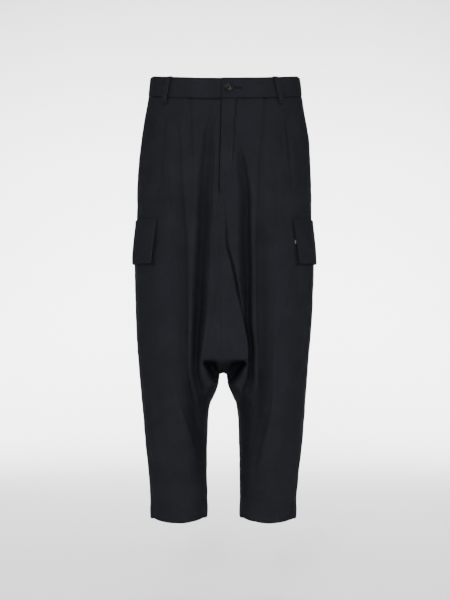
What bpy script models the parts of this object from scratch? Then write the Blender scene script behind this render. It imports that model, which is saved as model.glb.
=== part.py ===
"""Cargo trousers with a dropped crotch, as the pieces that are cut and sewn together.

Metres, +Z up. The front faces -Y, so the wearer's left is at +X. The origin is the middle of the
waist, half way up the waistband at the sides. A "drop" is a distance below the origin, and a
"round" is a distance along the cloth from the side seam, positive towards the front.
"""

import math

import bmesh
import bpy
import numpy as np

# ---------------------------------------------------------------- driving sizes
CLOTH = 0.0015  # one ply of twill
SEAM = 0.0003  # what parts two pieces
WAIST_SEAM = 0.018  # drop of the seam under the waistband, at the sides
CROTCH = 0.599  # drop of the point where the four panels meet
HEM = 0.903

BAND_HEIGHT = 0.042
BAND_THICKNESS = 0.0028
BAND_PROUD = 0.0006  # how far the band stands out from the panels
BAND_TAPER = 0.026  # share of its size that the band loses to its top edge
BAND_OVERLAP = 0.004  # the left end passes the front line by this much
BAND_UNDERLAP = 0.046  # the right end goes on under the left one
BAND_STEP_LEFT = 0.0014  # the left end is lifted, and the right end let in
BAND_STEP_RIGHT = -0.0018
BAND_STEP_RUN = (0.045, 0.075)  # the step fades between these reaches from the front line

FLY_WIDTH = 0.034
FLY_END = 0.232
FLY_LIFT = 0.0018
FLY_TUCK = 0.008  # how far the shield runs behind the right front
SHIELD_GAP = 0.0008  # air between the shield and the fronts

LOOP_WIDTH = 0.0115
LOOP_THICKNESS = 0.0016
BUTTON_RADIUS = 0.009
BUTTON_PLACE = (0.005, -0.0225)  # x and z of its middle
FLAP_THICKNESS = 0.0024
FLAP_SEAT = 0.0008  # air under the flap's sewn edge
FLAP_STAND_OFF = 0.0026  # more air under its lower edge
FLAP_CORNER = 0.007
TAB_SIZE = (0.0035, 0.007, 0.0008)  # along the cloth, up, thick
TAB_DROP = 0.329

SIGN = {"right": -1.0, "left": 1.0, "front": -1.0, "back": 1.0}
SIDES = ("right", "left")
FACES = ("front", "back")


def table(names, *rows):
    """A short table as one array for each named column."""
    return dict(zip(names.split(), np.array(rows, float).T))


# The outline at each level: its reach to the wearer's right and left, to the front and to the
# back, over what width the front rounds away to the side seam, and how square that turn is.
SECTIONS = table(
    "drop right left front back turn square",
    (0.018, 0.1621, 0.1590, 0.106, 0.104, 0.160, 2.25),
    (0.043, 0.1663, 0.1625, 0.109, 0.110, 0.162, 2.25),
    (0.081, 0.1728, 0.1691, 0.112, 0.122, 0.165, 2.30),
    (0.119, 0.1783, 0.1747, 0.114, 0.134, 0.168, 2.30),
    (0.169, 0.1829, 0.1772, 0.116, 0.144, 0.168, 2.35),
    (0.219, 0.1854, 0.1785, 0.116, 0.147, 0.166, 2.35),
    (0.270, 0.1860, 0.1791, 0.114, 0.144, 0.162, 2.40),
    (0.371, 0.1911, 0.1838, 0.110, 0.130, 0.150, 2.40),
    (0.471, 0.1894, 0.1808, 0.106, 0.116, 0.130, 2.30),
    (0.572, 0.1835, 0.1733, 0.100, 0.105, 0.112, 2.20),
    (0.673, 0.1751, 0.1657, 0.092, 0.095, 0.088, 2.10),
    (0.732, 0.1697, 0.1604, 0.085, 0.087, 0.078, 2.05),
    (0.799, 0.1630, 0.1537, 0.075, 0.077, 0.068, 2.00),
    (0.866, 0.1590, 0.1483, 0.064, 0.066, 0.061, 2.00),
    (0.903, 0.1586, 0.1481, 0.058, 0.060, 0.060, 2.00),
)

# The centre seams above the crotch.
CENTRE = table(
    "drop front back",
    (0.018, -0.0084, -0.002),
    (0.126, -0.0104, -0.003),
    (0.226, -0.0130, -0.004),
    (0.366, -0.0130, -0.005),
    (0.486, -0.0100, -0.006),
    (0.570, -0.0070, -0.006),
    (0.599, -0.0060, -0.006),
)

# The inner leg seams below it.
INSEAM = table(
    "drop right left",
    (0.5990, -0.0060, -0.0060),
    (0.6003, -0.0100, -0.0020),
    (0.6030, -0.0126, 0.0006),
    (0.6100, -0.0137, 0.0019),
    (0.6230, -0.0160, 0.0040),
    (0.6350, -0.0200, 0.0086),
    (0.6480, -0.0256, 0.0145),
    (0.6600, -0.0315, 0.0200),
    (0.6730, -0.0349, 0.0227),
    (0.6980, -0.0370, 0.0254),
    (0.7320, -0.0386, 0.0265),
    (0.7990, -0.0399, 0.0281),
    (0.8660, -0.0391, 0.0286),
    (0.9030, -0.0386, 0.0275),
)

# The sling between the legs: how much of its depth the centre seam keeps as it folds under.
SLING = table(
    "drop share",
    (0.5550, 1.00),
    (0.5630, 0.995),
    (0.5680, 0.96),
    (0.5715, 0.88),
    (0.5750, 0.75),
    (0.5810, 0.55),
    (0.5880, 0.33),
    (0.5940, 0.15),
    (0.5990, 0.00),
)

# Under the sling's fold the cloth lies back in a hollow on each side of the centre seam: how far
# it reaches to the right and to the left, how deep it is, the width over which the leg then comes
# forward, and the least share of the depth that stays open inside it, past its rounded edge.
HOLLOW = table(
    "drop right left depth ramp open edge",
    (0.566, 0.036, 0.046, 0.00, 0.008, 0.00, 0.010),
    (0.570, 0.035, 0.045, 0.15, 0.008, 0.01, 0.010),
    (0.575, 0.034, 0.044, 0.50, 0.008, 0.04, 0.010),
    (0.586, 0.028, 0.036, 0.58, 0.009, 0.16, 0.010),
    (0.599, 0.021, 0.028, 0.40, 0.012, 0.28, 0.009),
    (0.603, 0.019, 0.025, 0.40, 0.012, 0.31, 0.009),
    (0.612, 0.010, 0.014, 0.20, 0.016, 0.34, 0.010),
    (0.623, 0.000, 0.000, 0.00, 0.028, 0.20, 0.014),
    (0.648, 0.000, 0.000, 0.00, 0.045, 0.00, 0.020),
    (0.673, 0.000, 0.000, 0.00, 0.056, 0.00, 0.020),
    (0.732, 0.000, 0.000, 0.00, 0.060, 0.00, 0.020),
    (0.903, 0.000, 0.000, 0.00, 0.060, 0.00, 0.020),
)

# Folds. Each row is a level, where the fold lies there, how deep it is (a ridge is negative) and
# how wide it is on its -X and on its +X side.
FOLD = "drop x depth minus plus"
FRONT_FOLDS = {
    "main_right": table(
        FOLD,
        (0.054, -0.0200, 0.000, 0.010, 0.010),
        (0.076, -0.0244, 0.003, 0.012, 0.012),
        (0.106, -0.0344, 0.007, 0.014, 0.014),
        (0.146, -0.0380, 0.011, 0.014, 0.018),
        (0.196, -0.0422, 0.014, 0.015, 0.020),
        (0.246, -0.0446, 0.017, 0.016, 0.020),
        (0.326, -0.0480, 0.020, 0.016, 0.020),
        (0.406, -0.0524, 0.022, 0.016, 0.020),
        (0.486, -0.0560, 0.024, 0.014, 0.018),
        (0.546, -0.0594, 0.025, 0.014, 0.013),
        (0.586, -0.0606, 0.019, 0.014, 0.011),
        (0.622, -0.0526, 0.012, 0.016, 0.012),
        (0.652, -0.0446, 0.006, 0.014, 0.012),
        (0.675, -0.0400, 0.000, 0.010, 0.010),
    ),
    "minor_right": table(
        FOLD,
        (0.060, -0.1000, 0.000, 0.012, 0.008),
        (0.090, -0.0990, 0.002, 0.014, 0.008),
        (0.146, -0.0940, 0.004, 0.016, 0.008),
        (0.200, -0.0930, 0.005, 0.018, 0.009),
        (0.260, -0.0900, 0.007, 0.022, 0.011),
        (0.326, -0.0840, 0.009, 0.027, 0.012),
        (0.546, -0.0820, 0.010, 0.027, 0.011),
        (0.606, -0.0780, 0.010, 0.027, 0.011),
        (0.646, -0.0720, 0.010, 0.026, 0.012),
        (0.700, -0.0620, 0.008, 0.026, 0.014),
        (0.760, -0.0550, 0.005, 0.024, 0.012),
        (0.830, -0.0500, 0.000, 0.020, 0.010),
    ),
    "pleat_right": table(
        FOLD,
        (0.018, -0.0712, 0.0026, 0.010, 0.004),
        (0.090, -0.0712, 0.0030, 0.010, 0.004),
        (0.136, -0.0690, 0.0028, 0.011, 0.005),
        (0.180, -0.0650, 0.0000, 0.012, 0.006),
    ),
    "main_left": table(
        FOLD,
        (0.100, 0.0260, 0.000, 0.010, 0.010),
        (0.136, 0.0268, 0.004, 0.014, 0.008),
        (0.176, 0.0336, 0.010, 0.018, 0.009),
        (0.216, 0.0400, 0.014, 0.018, 0.010),
        (0.246, 0.0410, 0.017, 0.019, 0.011),
        (0.326, 0.0410, 0.020, 0.019, 0.012),
        (0.406, 0.0430, 0.022, 0.018, 0.012),
        (0.486, 0.0445, 0.024, 0.010, 0.012),
        (0.546, 0.0505, 0.025, 0.007, 0.011),
        (0.596, 0.0490, 0.018, 0.008, 0.011),
        (0.630, 0.0410, 0.010, 0.012, 0.014),
        (0.656, 0.0340, 0.005, 0.012, 0.014),
        (0.680, 0.0300, 0.000, 0.010, 0.010),
    ),
    "drape_edge_left": table(
        FOLD,
        (0.285, -0.0010, 0.000, 0.003, 0.005),
        (0.336, 0.0020, 0.004, 0.003, 0.006),
        (0.372, 0.0114, 0.006, 0.003, 0.006),
        (0.446, 0.0274, 0.006, 0.003, 0.006),
        (0.482, 0.0380, 0.005, 0.003, 0.006),
        (0.516, 0.0440, 0.003, 0.003, 0.006),
        (0.540, 0.0480, 0.000, 0.003, 0.005),
    ),
    "minor_left": table(
        FOLD,
        (0.018, 0.0790, 0.0026, 0.004, 0.010),
        (0.090, 0.0770, 0.003, 0.006, 0.010),
        (0.166, 0.0700, 0.005, 0.008, 0.012),
        (0.246, 0.0680, 0.006, 0.009, 0.016),
        (0.326, 0.0660, 0.008, 0.010, 0.026),
        (0.406, 0.0660, 0.009, 0.010, 0.030),
        (0.486, 0.0660, 0.009, 0.010, 0.030),
        (0.546, 0.0680, 0.009, 0.010, 0.028),
        (0.606, 0.0740, 0.009, 0.014, 0.022),
        (0.646, 0.0780, 0.009, 0.020, 0.018),
        (0.700, 0.0700, 0.008, 0.018, 0.018),
        (0.760, 0.0600, 0.005, 0.014, 0.016),
        (0.830, 0.0500, 0.000, 0.010, 0.010),
    ),
    "drape_swell": table(
        FOLD,
        (0.300, -0.0080, 0.000, 0.030, 0.030),
        (0.450, -0.0060, -0.004, 0.038, 0.038),
        (0.545, -0.0040, -0.006, 0.044, 0.044),
        (0.575, -0.0040, 0.000, 0.044, 0.044),
    ),
}
BACK_FOLDS = {
    "main_right": table(
        FOLD,
        (0.200, -0.0300, 0.000, 0.012, 0.012),
        (0.280, -0.0380, 0.005, 0.014, 0.016),
        (0.360, -0.0450, 0.010, 0.015, 0.018),
        (0.440, -0.0500, 0.015, 0.015, 0.016),
        (0.520, -0.0570, 0.019, 0.014, 0.011),
        (0.575, -0.0585, 0.018, 0.014, 0.010),
        (0.625, -0.0500, 0.012, 0.016, 0.014),
        (0.660, -0.0430, 0.005, 0.014, 0.012),
        (0.690, -0.0400, 0.000, 0.010, 0.010),
    ),
    "main_left": table(
        FOLD,
        (0.230, 0.0200, 0.000, 0.012, 0.012),
        (0.300, 0.0290, 0.006, 0.016, 0.014),
        (0.380, 0.0370, 0.012, 0.017, 0.014),
        (0.460, 0.0450, 0.017, 0.014, 0.014),
        (0.530, 0.0520, 0.020, 0.010, 0.014),
        (0.580, 0.0530, 0.017, 0.009, 0.014),
        (0.630, 0.0430, 0.010, 0.013, 0.016),
        (0.665, 0.0350, 0.004, 0.012, 0.014),
        (0.690, 0.0280, 0.000, 0.010, 0.010),
    ),
    "minor_right": table(
        FOLD,
        (0.300, -0.0940, 0.000, 0.020, 0.010),
        (0.400, -0.0900, 0.005, 0.024, 0.012),
        (0.520, -0.0880, 0.008, 0.026, 0.012),
        (0.610, -0.0800, 0.008, 0.026, 0.013),
        (0.690, -0.0660, 0.006, 0.022, 0.012),
        (0.780, -0.0550, 0.000, 0.018, 0.010),
    ),
    "minor_left": table(
        FOLD,
        (0.340, 0.0780, 0.000, 0.010, 0.020),
        (0.440, 0.0760, 0.006, 0.012, 0.024),
        (0.540, 0.0740, 0.008, 0.012, 0.026),
        (0.620, 0.0670, 0.007, 0.013, 0.024),
        (0.700, 0.0560, 0.005, 0.012, 0.020),
        (0.800, 0.0450, 0.000, 0.010, 0.016),
    ),
    "seat": table(
        FOLD,
        (0.080, -0.0030, 0.000, 0.020, 0.020),
        (0.200, -0.0040, 0.004, 0.030, 0.030),
        (0.300, -0.0050, 0.004, 0.030, 0.030),
        (0.420, -0.0060, 0.000, 0.030, 0.030),
    ),
    "drape_swell": table(
        FOLD,
        (0.380, -0.0060, 0.000, 0.030, 0.030),
        (0.540, -0.0060, -0.005, 0.042, 0.042),
        (0.575, -0.0060, 0.000, 0.044, 0.044),
    ),
}
FOLDS = {"front": FRONT_FOLDS, "back": BACK_FOLDS}

# The panels' columns of points run along the folds. Each line is x at some levels, from the
# outer side inwards, and COLUMNS says how many columns fill each space from side seam to centre.
LINES = {
    ("front", "right"): table(
        "drop lobe minor ridge main lip drape",
        (0.030, -0.126, -0.104, -0.0710, -0.0200, -0.0170, -0.0125),
        (0.100, -0.126, -0.098, -0.0710, -0.0330, -0.0230, -0.0150),
        (0.200, -0.128, -0.093, -0.0710, -0.0425, -0.0240, -0.0180),
        (0.300, -0.126, -0.087, -0.0700, -0.0470, -0.0280, -0.0210),
        (0.400, -0.124, -0.084, -0.0720, -0.0520, -0.0330, -0.0240),
        (0.500, -0.122, -0.084, -0.0730, -0.0575, -0.0420, -0.0310),
        (0.550, -0.121, -0.082, -0.0720, -0.0600, -0.0475, -0.0385),
        (0.575, -0.121, -0.081, -0.0715, -0.0606, -0.0485, -0.0400),
        (0.586, -0.120, -0.080, -0.0705, -0.0600, -0.0440, -0.0340),
        (0.600, -0.120, -0.079, -0.0690, -0.0580, -0.0380, -0.0265),
        (0.612, -0.120, -0.077, -0.0670, -0.0550, -0.0320, -0.0180),
        (0.625, -0.120, -0.075, -0.0650, -0.0520, -0.0330, -0.0225),
        (0.650, -0.120, -0.073, -0.0610, -0.0465, -0.0390, -0.0325),
        (0.700, -0.117, -0.076, -0.0640, -0.0540, -0.0475, -0.0420),
        (0.780, -0.114, -0.084, -0.0680, -0.0570, -0.0500, -0.0450),
        (0.903, -0.110, -0.084, -0.0680, -0.0570, -0.0500, -0.0450),
    ),
    ("front", "left"): table(
        "drop lobe minor ridge main lip drape",
        (0.030, 0.112, 0.080, 0.0480, 0.0240, 0.0120, 0.0000),
        (0.100, 0.112, 0.076, 0.0480, 0.0260, 0.0140, 0.0010),
        (0.200, 0.115, 0.069, 0.0500, 0.0370, 0.0210, 0.0030),
        (0.300, 0.115, 0.067, 0.0530, 0.0410, 0.0220, 0.0010),
        (0.350, 0.113, 0.066, 0.0540, 0.0415, 0.0240, 0.0060),
        (0.400, 0.111, 0.066, 0.0560, 0.0430, 0.0300, 0.0170),
        (0.450, 0.108, 0.066, 0.0560, 0.0435, 0.0360, 0.0290),
        (0.500, 0.106, 0.067, 0.0575, 0.0460, 0.0405, 0.0350),
        (0.550, 0.105, 0.069, 0.0595, 0.0505, 0.0445, 0.0370),
        (0.575, 0.104, 0.072, 0.0600, 0.0505, 0.0445, 0.0365),
        (0.586, 0.104, 0.073, 0.0595, 0.0500, 0.0400, 0.0300),
        (0.600, 0.103, 0.075, 0.0590, 0.0485, 0.0345, 0.0220),
        (0.612, 0.103, 0.076, 0.0570, 0.0450, 0.0265, 0.0095),
        (0.625, 0.102, 0.077, 0.0550, 0.0415, 0.0250, 0.0120),
        (0.650, 0.102, 0.079, 0.0500, 0.0355, 0.0280, 0.0215),
        (0.700, 0.100, 0.073, 0.0530, 0.0435, 0.0370, 0.0310),
        (0.780, 0.098, 0.071, 0.0570, 0.0460, 0.0390, 0.0335),
        (0.903, 0.095, 0.071, 0.0570, 0.0460, 0.0390, 0.0335),
    ),
    ("back", "right"): table(
        "drop lobe ridge main lip drape",
        (0.050, -0.110, -0.055, -0.0320, -0.0220, -0.0110),
        (0.280, -0.115, -0.058, -0.0380, -0.0260, -0.0140),
        (0.440, -0.115, -0.070, -0.0500, -0.0350, -0.0230),
        (0.550, -0.115, -0.076, -0.0580, -0.0475, -0.0385),
        (0.575, -0.115, -0.076, -0.0585, -0.0485, -0.0400),
        (0.586, -0.114, -0.075, -0.0575, -0.0440, -0.0340),
        (0.600, -0.112, -0.073, -0.0550, -0.0380, -0.0265),
        (0.612, -0.112, -0.070, -0.0525, -0.0320, -0.0180),
        (0.625, -0.111, -0.067, -0.0500, -0.0330, -0.0225),
        (0.650, -0.110, -0.065, -0.0460, -0.0390, -0.0325),
        (0.700, -0.108, -0.070, -0.0540, -0.0475, -0.0420),
        (0.903, -0.104, -0.072, -0.0580, -0.0510, -0.0450),
    ),
    ("back", "left"): table(
        "drop lobe ridge main lip drape",
        (0.050, 0.104, 0.044, 0.0210, 0.0120, 0.0040),
        (0.280, 0.106, 0.048, 0.0270, 0.0160, 0.0050),
        (0.440, 0.105, 0.060, 0.0430, 0.0300, 0.0160),
        (0.550, 0.104, 0.068, 0.0525, 0.0445, 0.0370),
        (0.575, 0.103, 0.068, 0.0530, 0.0445, 0.0365),
        (0.586, 0.102, 0.067, 0.0520, 0.0400, 0.0300),
        (0.600, 0.101, 0.064, 0.0490, 0.0345, 0.0220),
        (0.612, 0.100, 0.061, 0.0460, 0.0265, 0.0095),
        (0.625, 0.099, 0.058, 0.0430, 0.0250, 0.0120),
        (0.650, 0.098, 0.054, 0.0370, 0.0290, 0.0215),
        (0.700, 0.096, 0.058, 0.0440, 0.0375, 0.0310),
        (0.903, 0.092, 0.062, 0.0480, 0.0410, 0.0350),
    ),
}
COLUMNS = {"front": (5, 3, 2, 2, 2, 3, 4), "back": (3, 3, 2, 2, 3, 3)}

# The panels' rows: from each level to the next, this many. They crowd at the sling's fold.
ROWS = (
    (0.038, 1),
    (0.540, 13),
    (0.562, 1),
    (0.576, 4),
    (CROTCH, 4),
    (0.601, 1),
    (0.625, 3),
    (0.660, 3),
    (HEM, 8),
)

# The flaps: level of the top and lower edge, and where their front edge lies on the cloth.
FLAP_LEVELS = (0.281, 0.372)
FLAP_FRONT_X = {"right": (-0.138, -0.147), "left": (0.134, 0.145)}
FLAP_BACK = 0.086  # how far round behind the side seam they reach

# The belt loops: side, x of their middle at the top and at the foot, and the face they are on.
LOOPS = (
    ("right", "front", -0.1145, -0.1215),
    ("left", "front", 0.1010, 0.1090),
    ("right", "back", -0.1040, -0.1080),
    ("left", "back", 0.0990, 0.1030),
    ("left", "back", -0.0020, -0.0020),
)

# A loop's run from its top to its foot: height over the band's seam, and gap to what is under it.
LOOP_RUN = table(
    "height gap",
    (0.0400, 0.0003),
    (0.0412, 0.0030),
    (0.0396, 0.0056),
    (0.0350, 0.0066),
    (0.0200, 0.0069),
    (0.0040, 0.0068),
    (-0.0080, 0.0062),
    (-0.0140, 0.0046),
    (-0.0165, 0.0024),
    (-0.0170, 0.0005),
)

COLOURS = {
    "cloth": (0.0150, 0.0160, 0.0195),
    "button": (0.030, 0.030, 0.032),
    "tab": (0.32, 0.32, 0.32),
}


# ---------------------------------------------------------------- curves
def read(chart, column, place, along="drop"):
    """A table's column at a place, on a smooth curve that never overshoots its rows."""
    stations = chart[along]
    values = chart[column]
    place = np.clip(place, stations[0], stations[-1])
    steps = np.diff(stations)
    slopes = np.diff(values) / steps
    before = slopes[:-1]
    after = slopes[1:]
    same_way = before * after > 0
    middle = np.where(same_way, 2 * before * after / np.where(same_way, before + after, 1), 0)
    tangent = np.concatenate(([slopes[0]], middle, [slopes[-1]]))
    k = np.clip(np.searchsorted(stations, place, side="right") - 1, 0, len(steps) - 1)
    t = (place - stations[k]) / steps[k]
    start = values[k] * (1 + 2 * t) * (1 - t) ** 2 + tangent[k] * steps[k] * t * (1 - t) ** 2
    end = values[k + 1] * t**2 * (3 - 2 * t) - tangent[k + 1] * steps[k] * t**2 * (1 - t)
    return start + end


def ease(t):
    """A smooth step from 0 to 1."""
    t = np.clip(t, 0.0, 1.0)
    return t * t * (3 - 2 * t)


def quarter(t):
    """A quarter circle's height, from 0 where it is upright to 1 where it is level."""
    t = np.clip(t, 0.0, 1.0)
    return np.sqrt(1 - (1 - t) ** 2)


def fold_shape(q):
    """A fold's cross-section: 1 in its middle, 0 at its rim, with a soft crease at both."""
    q = np.clip(q, 0.0, 1.0)
    return 0.6 * (0.5 + 0.5 * np.cos(np.pi * q)) + 0.4 * (1 - q)


# ---------------------------------------------------------------- the trousers' outer face
RISE_SLOPE = 0.195  # the waist is higher at the back than at the front
RISE_BOW = 0.41
RISE_FADE = 0.142
BASE_SAMPLES = 241
_bases = {}


def rise(y, drop):
    """How far a row of cloth lies above its level, from the waist's slope."""
    fade = np.clip(1 - (drop - WAIST_SEAM) / RISE_FADE, 0.0, 1.0) ** 2
    return (RISE_SLOPE * y - RISE_BOW * y * y) * fade


def inner_x(side, face, drop):
    """Where a panel's inner edge lies: the centre seam, and the inner leg below the crotch."""
    if drop <= CROTCH:
        return float(read(CENTRE, face, drop))
    return float(read(INSEAM, side, drop))


def base_row(side, face, drop):
    """A row without its folds: x, y and distance round, from the side seam to the inner edge."""
    key = (side, face, round(drop, 7))
    if key in _bases:
        return _bases[key]
    inner = inner_x(side, face, drop)
    width = float(read(SECTIONS, side, drop)) - SIGN[side] * inner
    share = 0.5 + 0.5 * np.cos(np.linspace(0, np.pi, BASE_SAMPLES))
    away = width * share  # distance from the inner edge: all of it at the side seam, then less
    turn = min(float(read(SECTIONS, "turn", drop)), width)
    square = float(read(SECTIONS, "square", drop))
    outer = np.clip((away - (width - turn)) / turn, 0.0, 1.0)
    depth = (1 - outer**square) ** (1 / square)
    if drop > SLING["drop"][0]:
        kept = float(read(SLING, "share", drop)) if drop < CROTCH else 0.0
        centre = abs(inner - float(CENTRE[face][-1])) if drop > CROTCH else 0.0
        reach = max(float(read(HOLLOW, side, drop)) - centre, 0.0)
        ramp = float(read(HOLLOW, "ramp", drop))
        lying_back = float(read(HOLLOW, "depth", drop))
        side_of_seam = ease((away / max(reach, 1e-6) - 0.30) / 0.35) if reach > 0 else 0.0
        edge = quarter(away / float(read(HOLLOW, "edge", drop)))
        shelf = kept * (1 - lying_back * side_of_seam)
        under = np.hypot(shelf, float(read(HOLLOW, "open", drop)) * edge)
        forward = quarter((away - reach) / ramp)
        depth = depth * (under + (1 - under) * forward)
    x = inner + SIGN[side] * away
    y = SIGN[face] * float(read(SECTIONS, face, drop)) * depth
    step = np.hypot(np.diff(x), np.diff(y))
    length = np.concatenate(([0.0], np.cumsum(step)))
    _bases[key] = (x, y, length)
    return _bases[key]


def fly_lift(side, x, drop):
    """The left front lies over the right one at the fly."""
    if side == "right":
        return np.zeros_like(x)
    line = float(read(CENTRE, "front", drop))
    near = 1 - ease((x - line - FLY_WIDTH) / 0.010)
    fade = 1 - ease((drop - FLY_END + 0.02) / 0.02)
    return FLY_LIFT * near * fade


def fold_depth(face, x, drop):
    """How far all the folds together push the cloth in at these points."""
    depth = np.zeros_like(x)
    for fold in FOLDS[face].values():
        inside = (drop > fold["drop"][0]) & (drop < fold["drop"][-1])
        away = x - read(fold, "x", drop)
        reach = np.where(away < 0, read(fold, "minus", drop), read(fold, "plus", drop))
        depth += np.where(inside, read(fold, "depth", drop) * fold_shape(np.abs(away) / reach), 0)
    return depth


def face_points(side, face, drop, round_):
    """Points of one face's outer surface at one level, at distances round from the side seam."""
    x_base, y_base, length = base_row(side, face, drop)
    x = np.interp(round_, length, x_base)
    y = np.interp(round_, length, y_base)
    z = -drop + rise(y, drop)
    push = -fold_depth(face, x, -z)
    if face == "front":
        push = push + fly_lift(side, x, drop)
    return np.stack((x, y + SIGN[face] * push, z), axis=-1)


def points(side, drop, round_):
    """Points of a half's outer surface at one level; round_ is negative behind the side seam."""
    round_ = np.atleast_1d(np.asarray(round_, float))
    found = np.empty(round_.shape + (3,))
    ahead = round_ >= 0
    found[ahead] = face_points(side, "front", drop, round_[ahead])
    found[~ahead] = face_points(side, "back", drop, -round_[~ahead])
    return found


def unit(v):
    """Vectors at length 1."""
    return v / np.linalg.norm(v, axis=-1, keepdims=True)


def ends(side, drop):
    """How far round a row its ends lie: the inner edges at the back and at the front."""
    return tuple(-SIGN[face] * base_row(side, face, drop)[2][-1] for face in ("back", "front"))


def same_share(side, drop, other, round_):
    """The places on another level at the same shares of its row as these have on theirs."""
    here = ends(side, drop)
    there = ends(side, other)
    return np.where(round_ < 0, round_ * there[0] / here[0], round_ * there[1] / here[1])


def normals(side, drop, round_):
    """Outward normals of a half's surface at one level."""
    round_ = np.atleast_1d(np.asarray(round_, float))
    step = 0.0012
    back_end, front_end = ends(side, drop)
    ahead = np.clip(round_ + step, back_end, front_end)
    behind = np.clip(round_ - step, back_end, front_end)
    along = points(side, drop, ahead) - points(side, drop, behind)
    low = min(drop + step, HEM)
    high = max(drop - step, WAIST_SEAM)
    low_points = points(side, low, same_share(side, drop, low, round_))
    high_points = points(side, high, same_share(side, drop, high, round_))
    return unit(np.cross(along, low_points - high_points)) * SIGN[side]


def round_at_x(side, face, drop, x):
    """The distance round, signed, at which a row passes a given x."""
    x_base, _, length = base_row(side, face, drop)
    order = np.argsort(x_base)
    return -SIGN[face] * float(np.interp(x, x_base[order], length[order]))


# ---------------------------------------------------------------- walls
def wall(name, outer, inner, material):
    """A closed wall between two grids of points, the outer one's normals facing out."""
    rows, columns = outer.shape[:2]
    mesh = bmesh.new()
    grids = []
    for grid in (outer, inner):
        grids.append([[mesh.verts.new(grid[r, c]) for c in range(columns)] for r in range(rows)])
    out, back = grids
    for r in range(rows - 1):
        for c in range(columns - 1):
            mesh.faces.new((out[r][c], out[r + 1][c], out[r + 1][c + 1], out[r][c + 1]))
            mesh.faces.new((back[r][c], back[r][c + 1], back[r + 1][c + 1], back[r + 1][c]))
    for c in range(columns - 1):
        mesh.faces.new((out[0][c], out[0][c + 1], back[0][c + 1], back[0][c]))
        mesh.faces.new((out[-1][c + 1], out[-1][c], back[-1][c], back[-1][c + 1]))
    for r in range(rows - 1):
        mesh.faces.new((out[r + 1][0], out[r][0], back[r][0], back[r + 1][0]))
        mesh.faces.new((out[r][-1], out[r + 1][-1], back[r + 1][-1], back[r][-1]))
    bmesh.ops.recalc_face_normals(mesh, faces=mesh.faces)
    bmesh.ops.triangulate(mesh, faces=mesh.faces, quad_method="SHORT_EDGE")
    return add_object(name, mesh, material)


def add_object(name, mesh, material):
    """The mesh as a named object of the trousers, shaded smooth over its soft edges."""
    data = bpy.data.meshes.new(name)
    mesh.to_mesh(data)
    mesh.free()
    made = bpy.data.objects.new(name, data)
    trousers.objects.link(made)
    made.data.materials.append(material)
    data.shade_smooth()
    data.set_sharp_from_angle(angle=math.radians(40))
    return made


def finish(name, colour, roughness):
    """A piece's own plain material."""
    material = bpy.data.materials.new(name + "_finish")
    material.use_nodes = True
    shader = material.node_tree.nodes["Principled BSDF"]
    shader.inputs["Base Color"].default_value = (*colour, 1.0)
    shader.inputs["Roughness"].default_value = roughness
    shader.inputs["Metallic"].default_value = 0.0
    material.diffuse_color = (*colour, 1.0)
    return material


def row_levels():
    """Every level at which a panel has a row of points."""
    levels = [WAIST_SEAM + SEAM / 2]
    for end, count in ROWS:
        levels.extend(np.linspace(levels[-1], end, count + 1)[1:])
    return levels


def column_places(side, face, drop):
    """The places round a row for a panel's columns, from the side seam to the inner edge."""
    length = base_row(side, face, drop)[2][-1]
    lines = LINES[face, side]
    marks = [0.0]
    for name in [key for key in lines if key != "drop"]:
        marks.append(abs(round_at_x(side, face, drop, float(read(lines, name, drop)))))
    marks.append(length)
    places = [0.0]
    for start, end, count in zip(marks, marks[1:], COLUMNS[face]):
        places.extend(np.linspace(start, end, count + 1)[1:])
    return -SIGN[face] * np.array(places)


def panel(side, face):
    """One of the four panels, from the waistband to the hem."""
    outer = []
    inner = []
    for drop in row_levels():
        places = column_places(side, face, drop)
        row = points(side, drop, places)
        facing = normals(side, drop, places)
        if drop < CROTCH - 1e-6:
            facing[-1, 0] = 0.0
        elif drop > CROTCH + 1e-6:
            facing[-1] = sum(normals(side, drop, end)[0] for end in ends(side, drop))
            facing[-1, 1] = 0.0
        else:
            facing[-1] = (0.0, 0.0, -1.0)
        facing = unit(facing)
        row[0, 1] += SIGN[face] * SEAM / 2
        if drop < CROTCH + 1e-6:
            row[-1, 0] += SIGN[side] * SEAM / 2
        if drop > CROTCH - 1e-6:
            row[-1, 1] += SIGN[face] * SEAM / 2
        outer.append(row)
        inner.append(row - CLOTH * facing)
    name = f"{face}_{side}"
    return wall(name, np.array(outer), np.array(inner), finish(name, COLOURS["cloth"], 0.85))


# ---------------------------------------------------------------- waistband
def band_place(side, round_):
    """The half that a place round the band lies on: past the front line it is the other half."""
    over = round_ - base_row(side, "front", WAIST_SEAM)[2][-1]
    if over <= 0:
        return side, round_
    other = SIDES[1 - SIDES.index(side)]
    return other, base_row(other, "front", WAIST_SEAM)[2][-1] - over


def band_normal(side, round_):
    """The band's outward normal in plan."""
    side, round_ = band_place(side, round_)
    face = "front" if round_ >= 0 else "back"
    x_base, y_base, length = base_row(side, face, WAIST_SEAM)
    place = abs(round_)
    if place > length[-1] - 0.002:
        return np.array((0.0, SIGN[face], 0.0))
    if place < 0.001:
        return np.array((SIGN[side], 0.0, 0.0))
    run = [np.interp(place + 0.001, length, v) - np.interp(place - 0.001, length, v) for v in (x_base, y_base)]
    out = SIGN[side] * SIGN[face]
    return unit(np.array((out * run[1], -out * run[0], 0.0)))


def band_point(side, round_, height, out):
    """A point on the band: round from the side seam, over its lower edge, and out from the cloth."""
    side, round_ = band_place(side, round_)
    face = "front" if round_ >= 0 else "back"
    x_base, y_base, length = base_row(side, face, WAIST_SEAM)
    x = float(np.interp(abs(round_), length, x_base))
    y = float(np.interp(abs(round_), length, y_base))
    size = 1 - BAND_TAPER * max(height, 0.0) / BAND_HEIGHT
    z = -WAIST_SEAM + float(rise(y, WAIST_SEAM)) + height
    return np.array((x * size, y * size, z)) + out * band_normal(side, round_)


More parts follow.
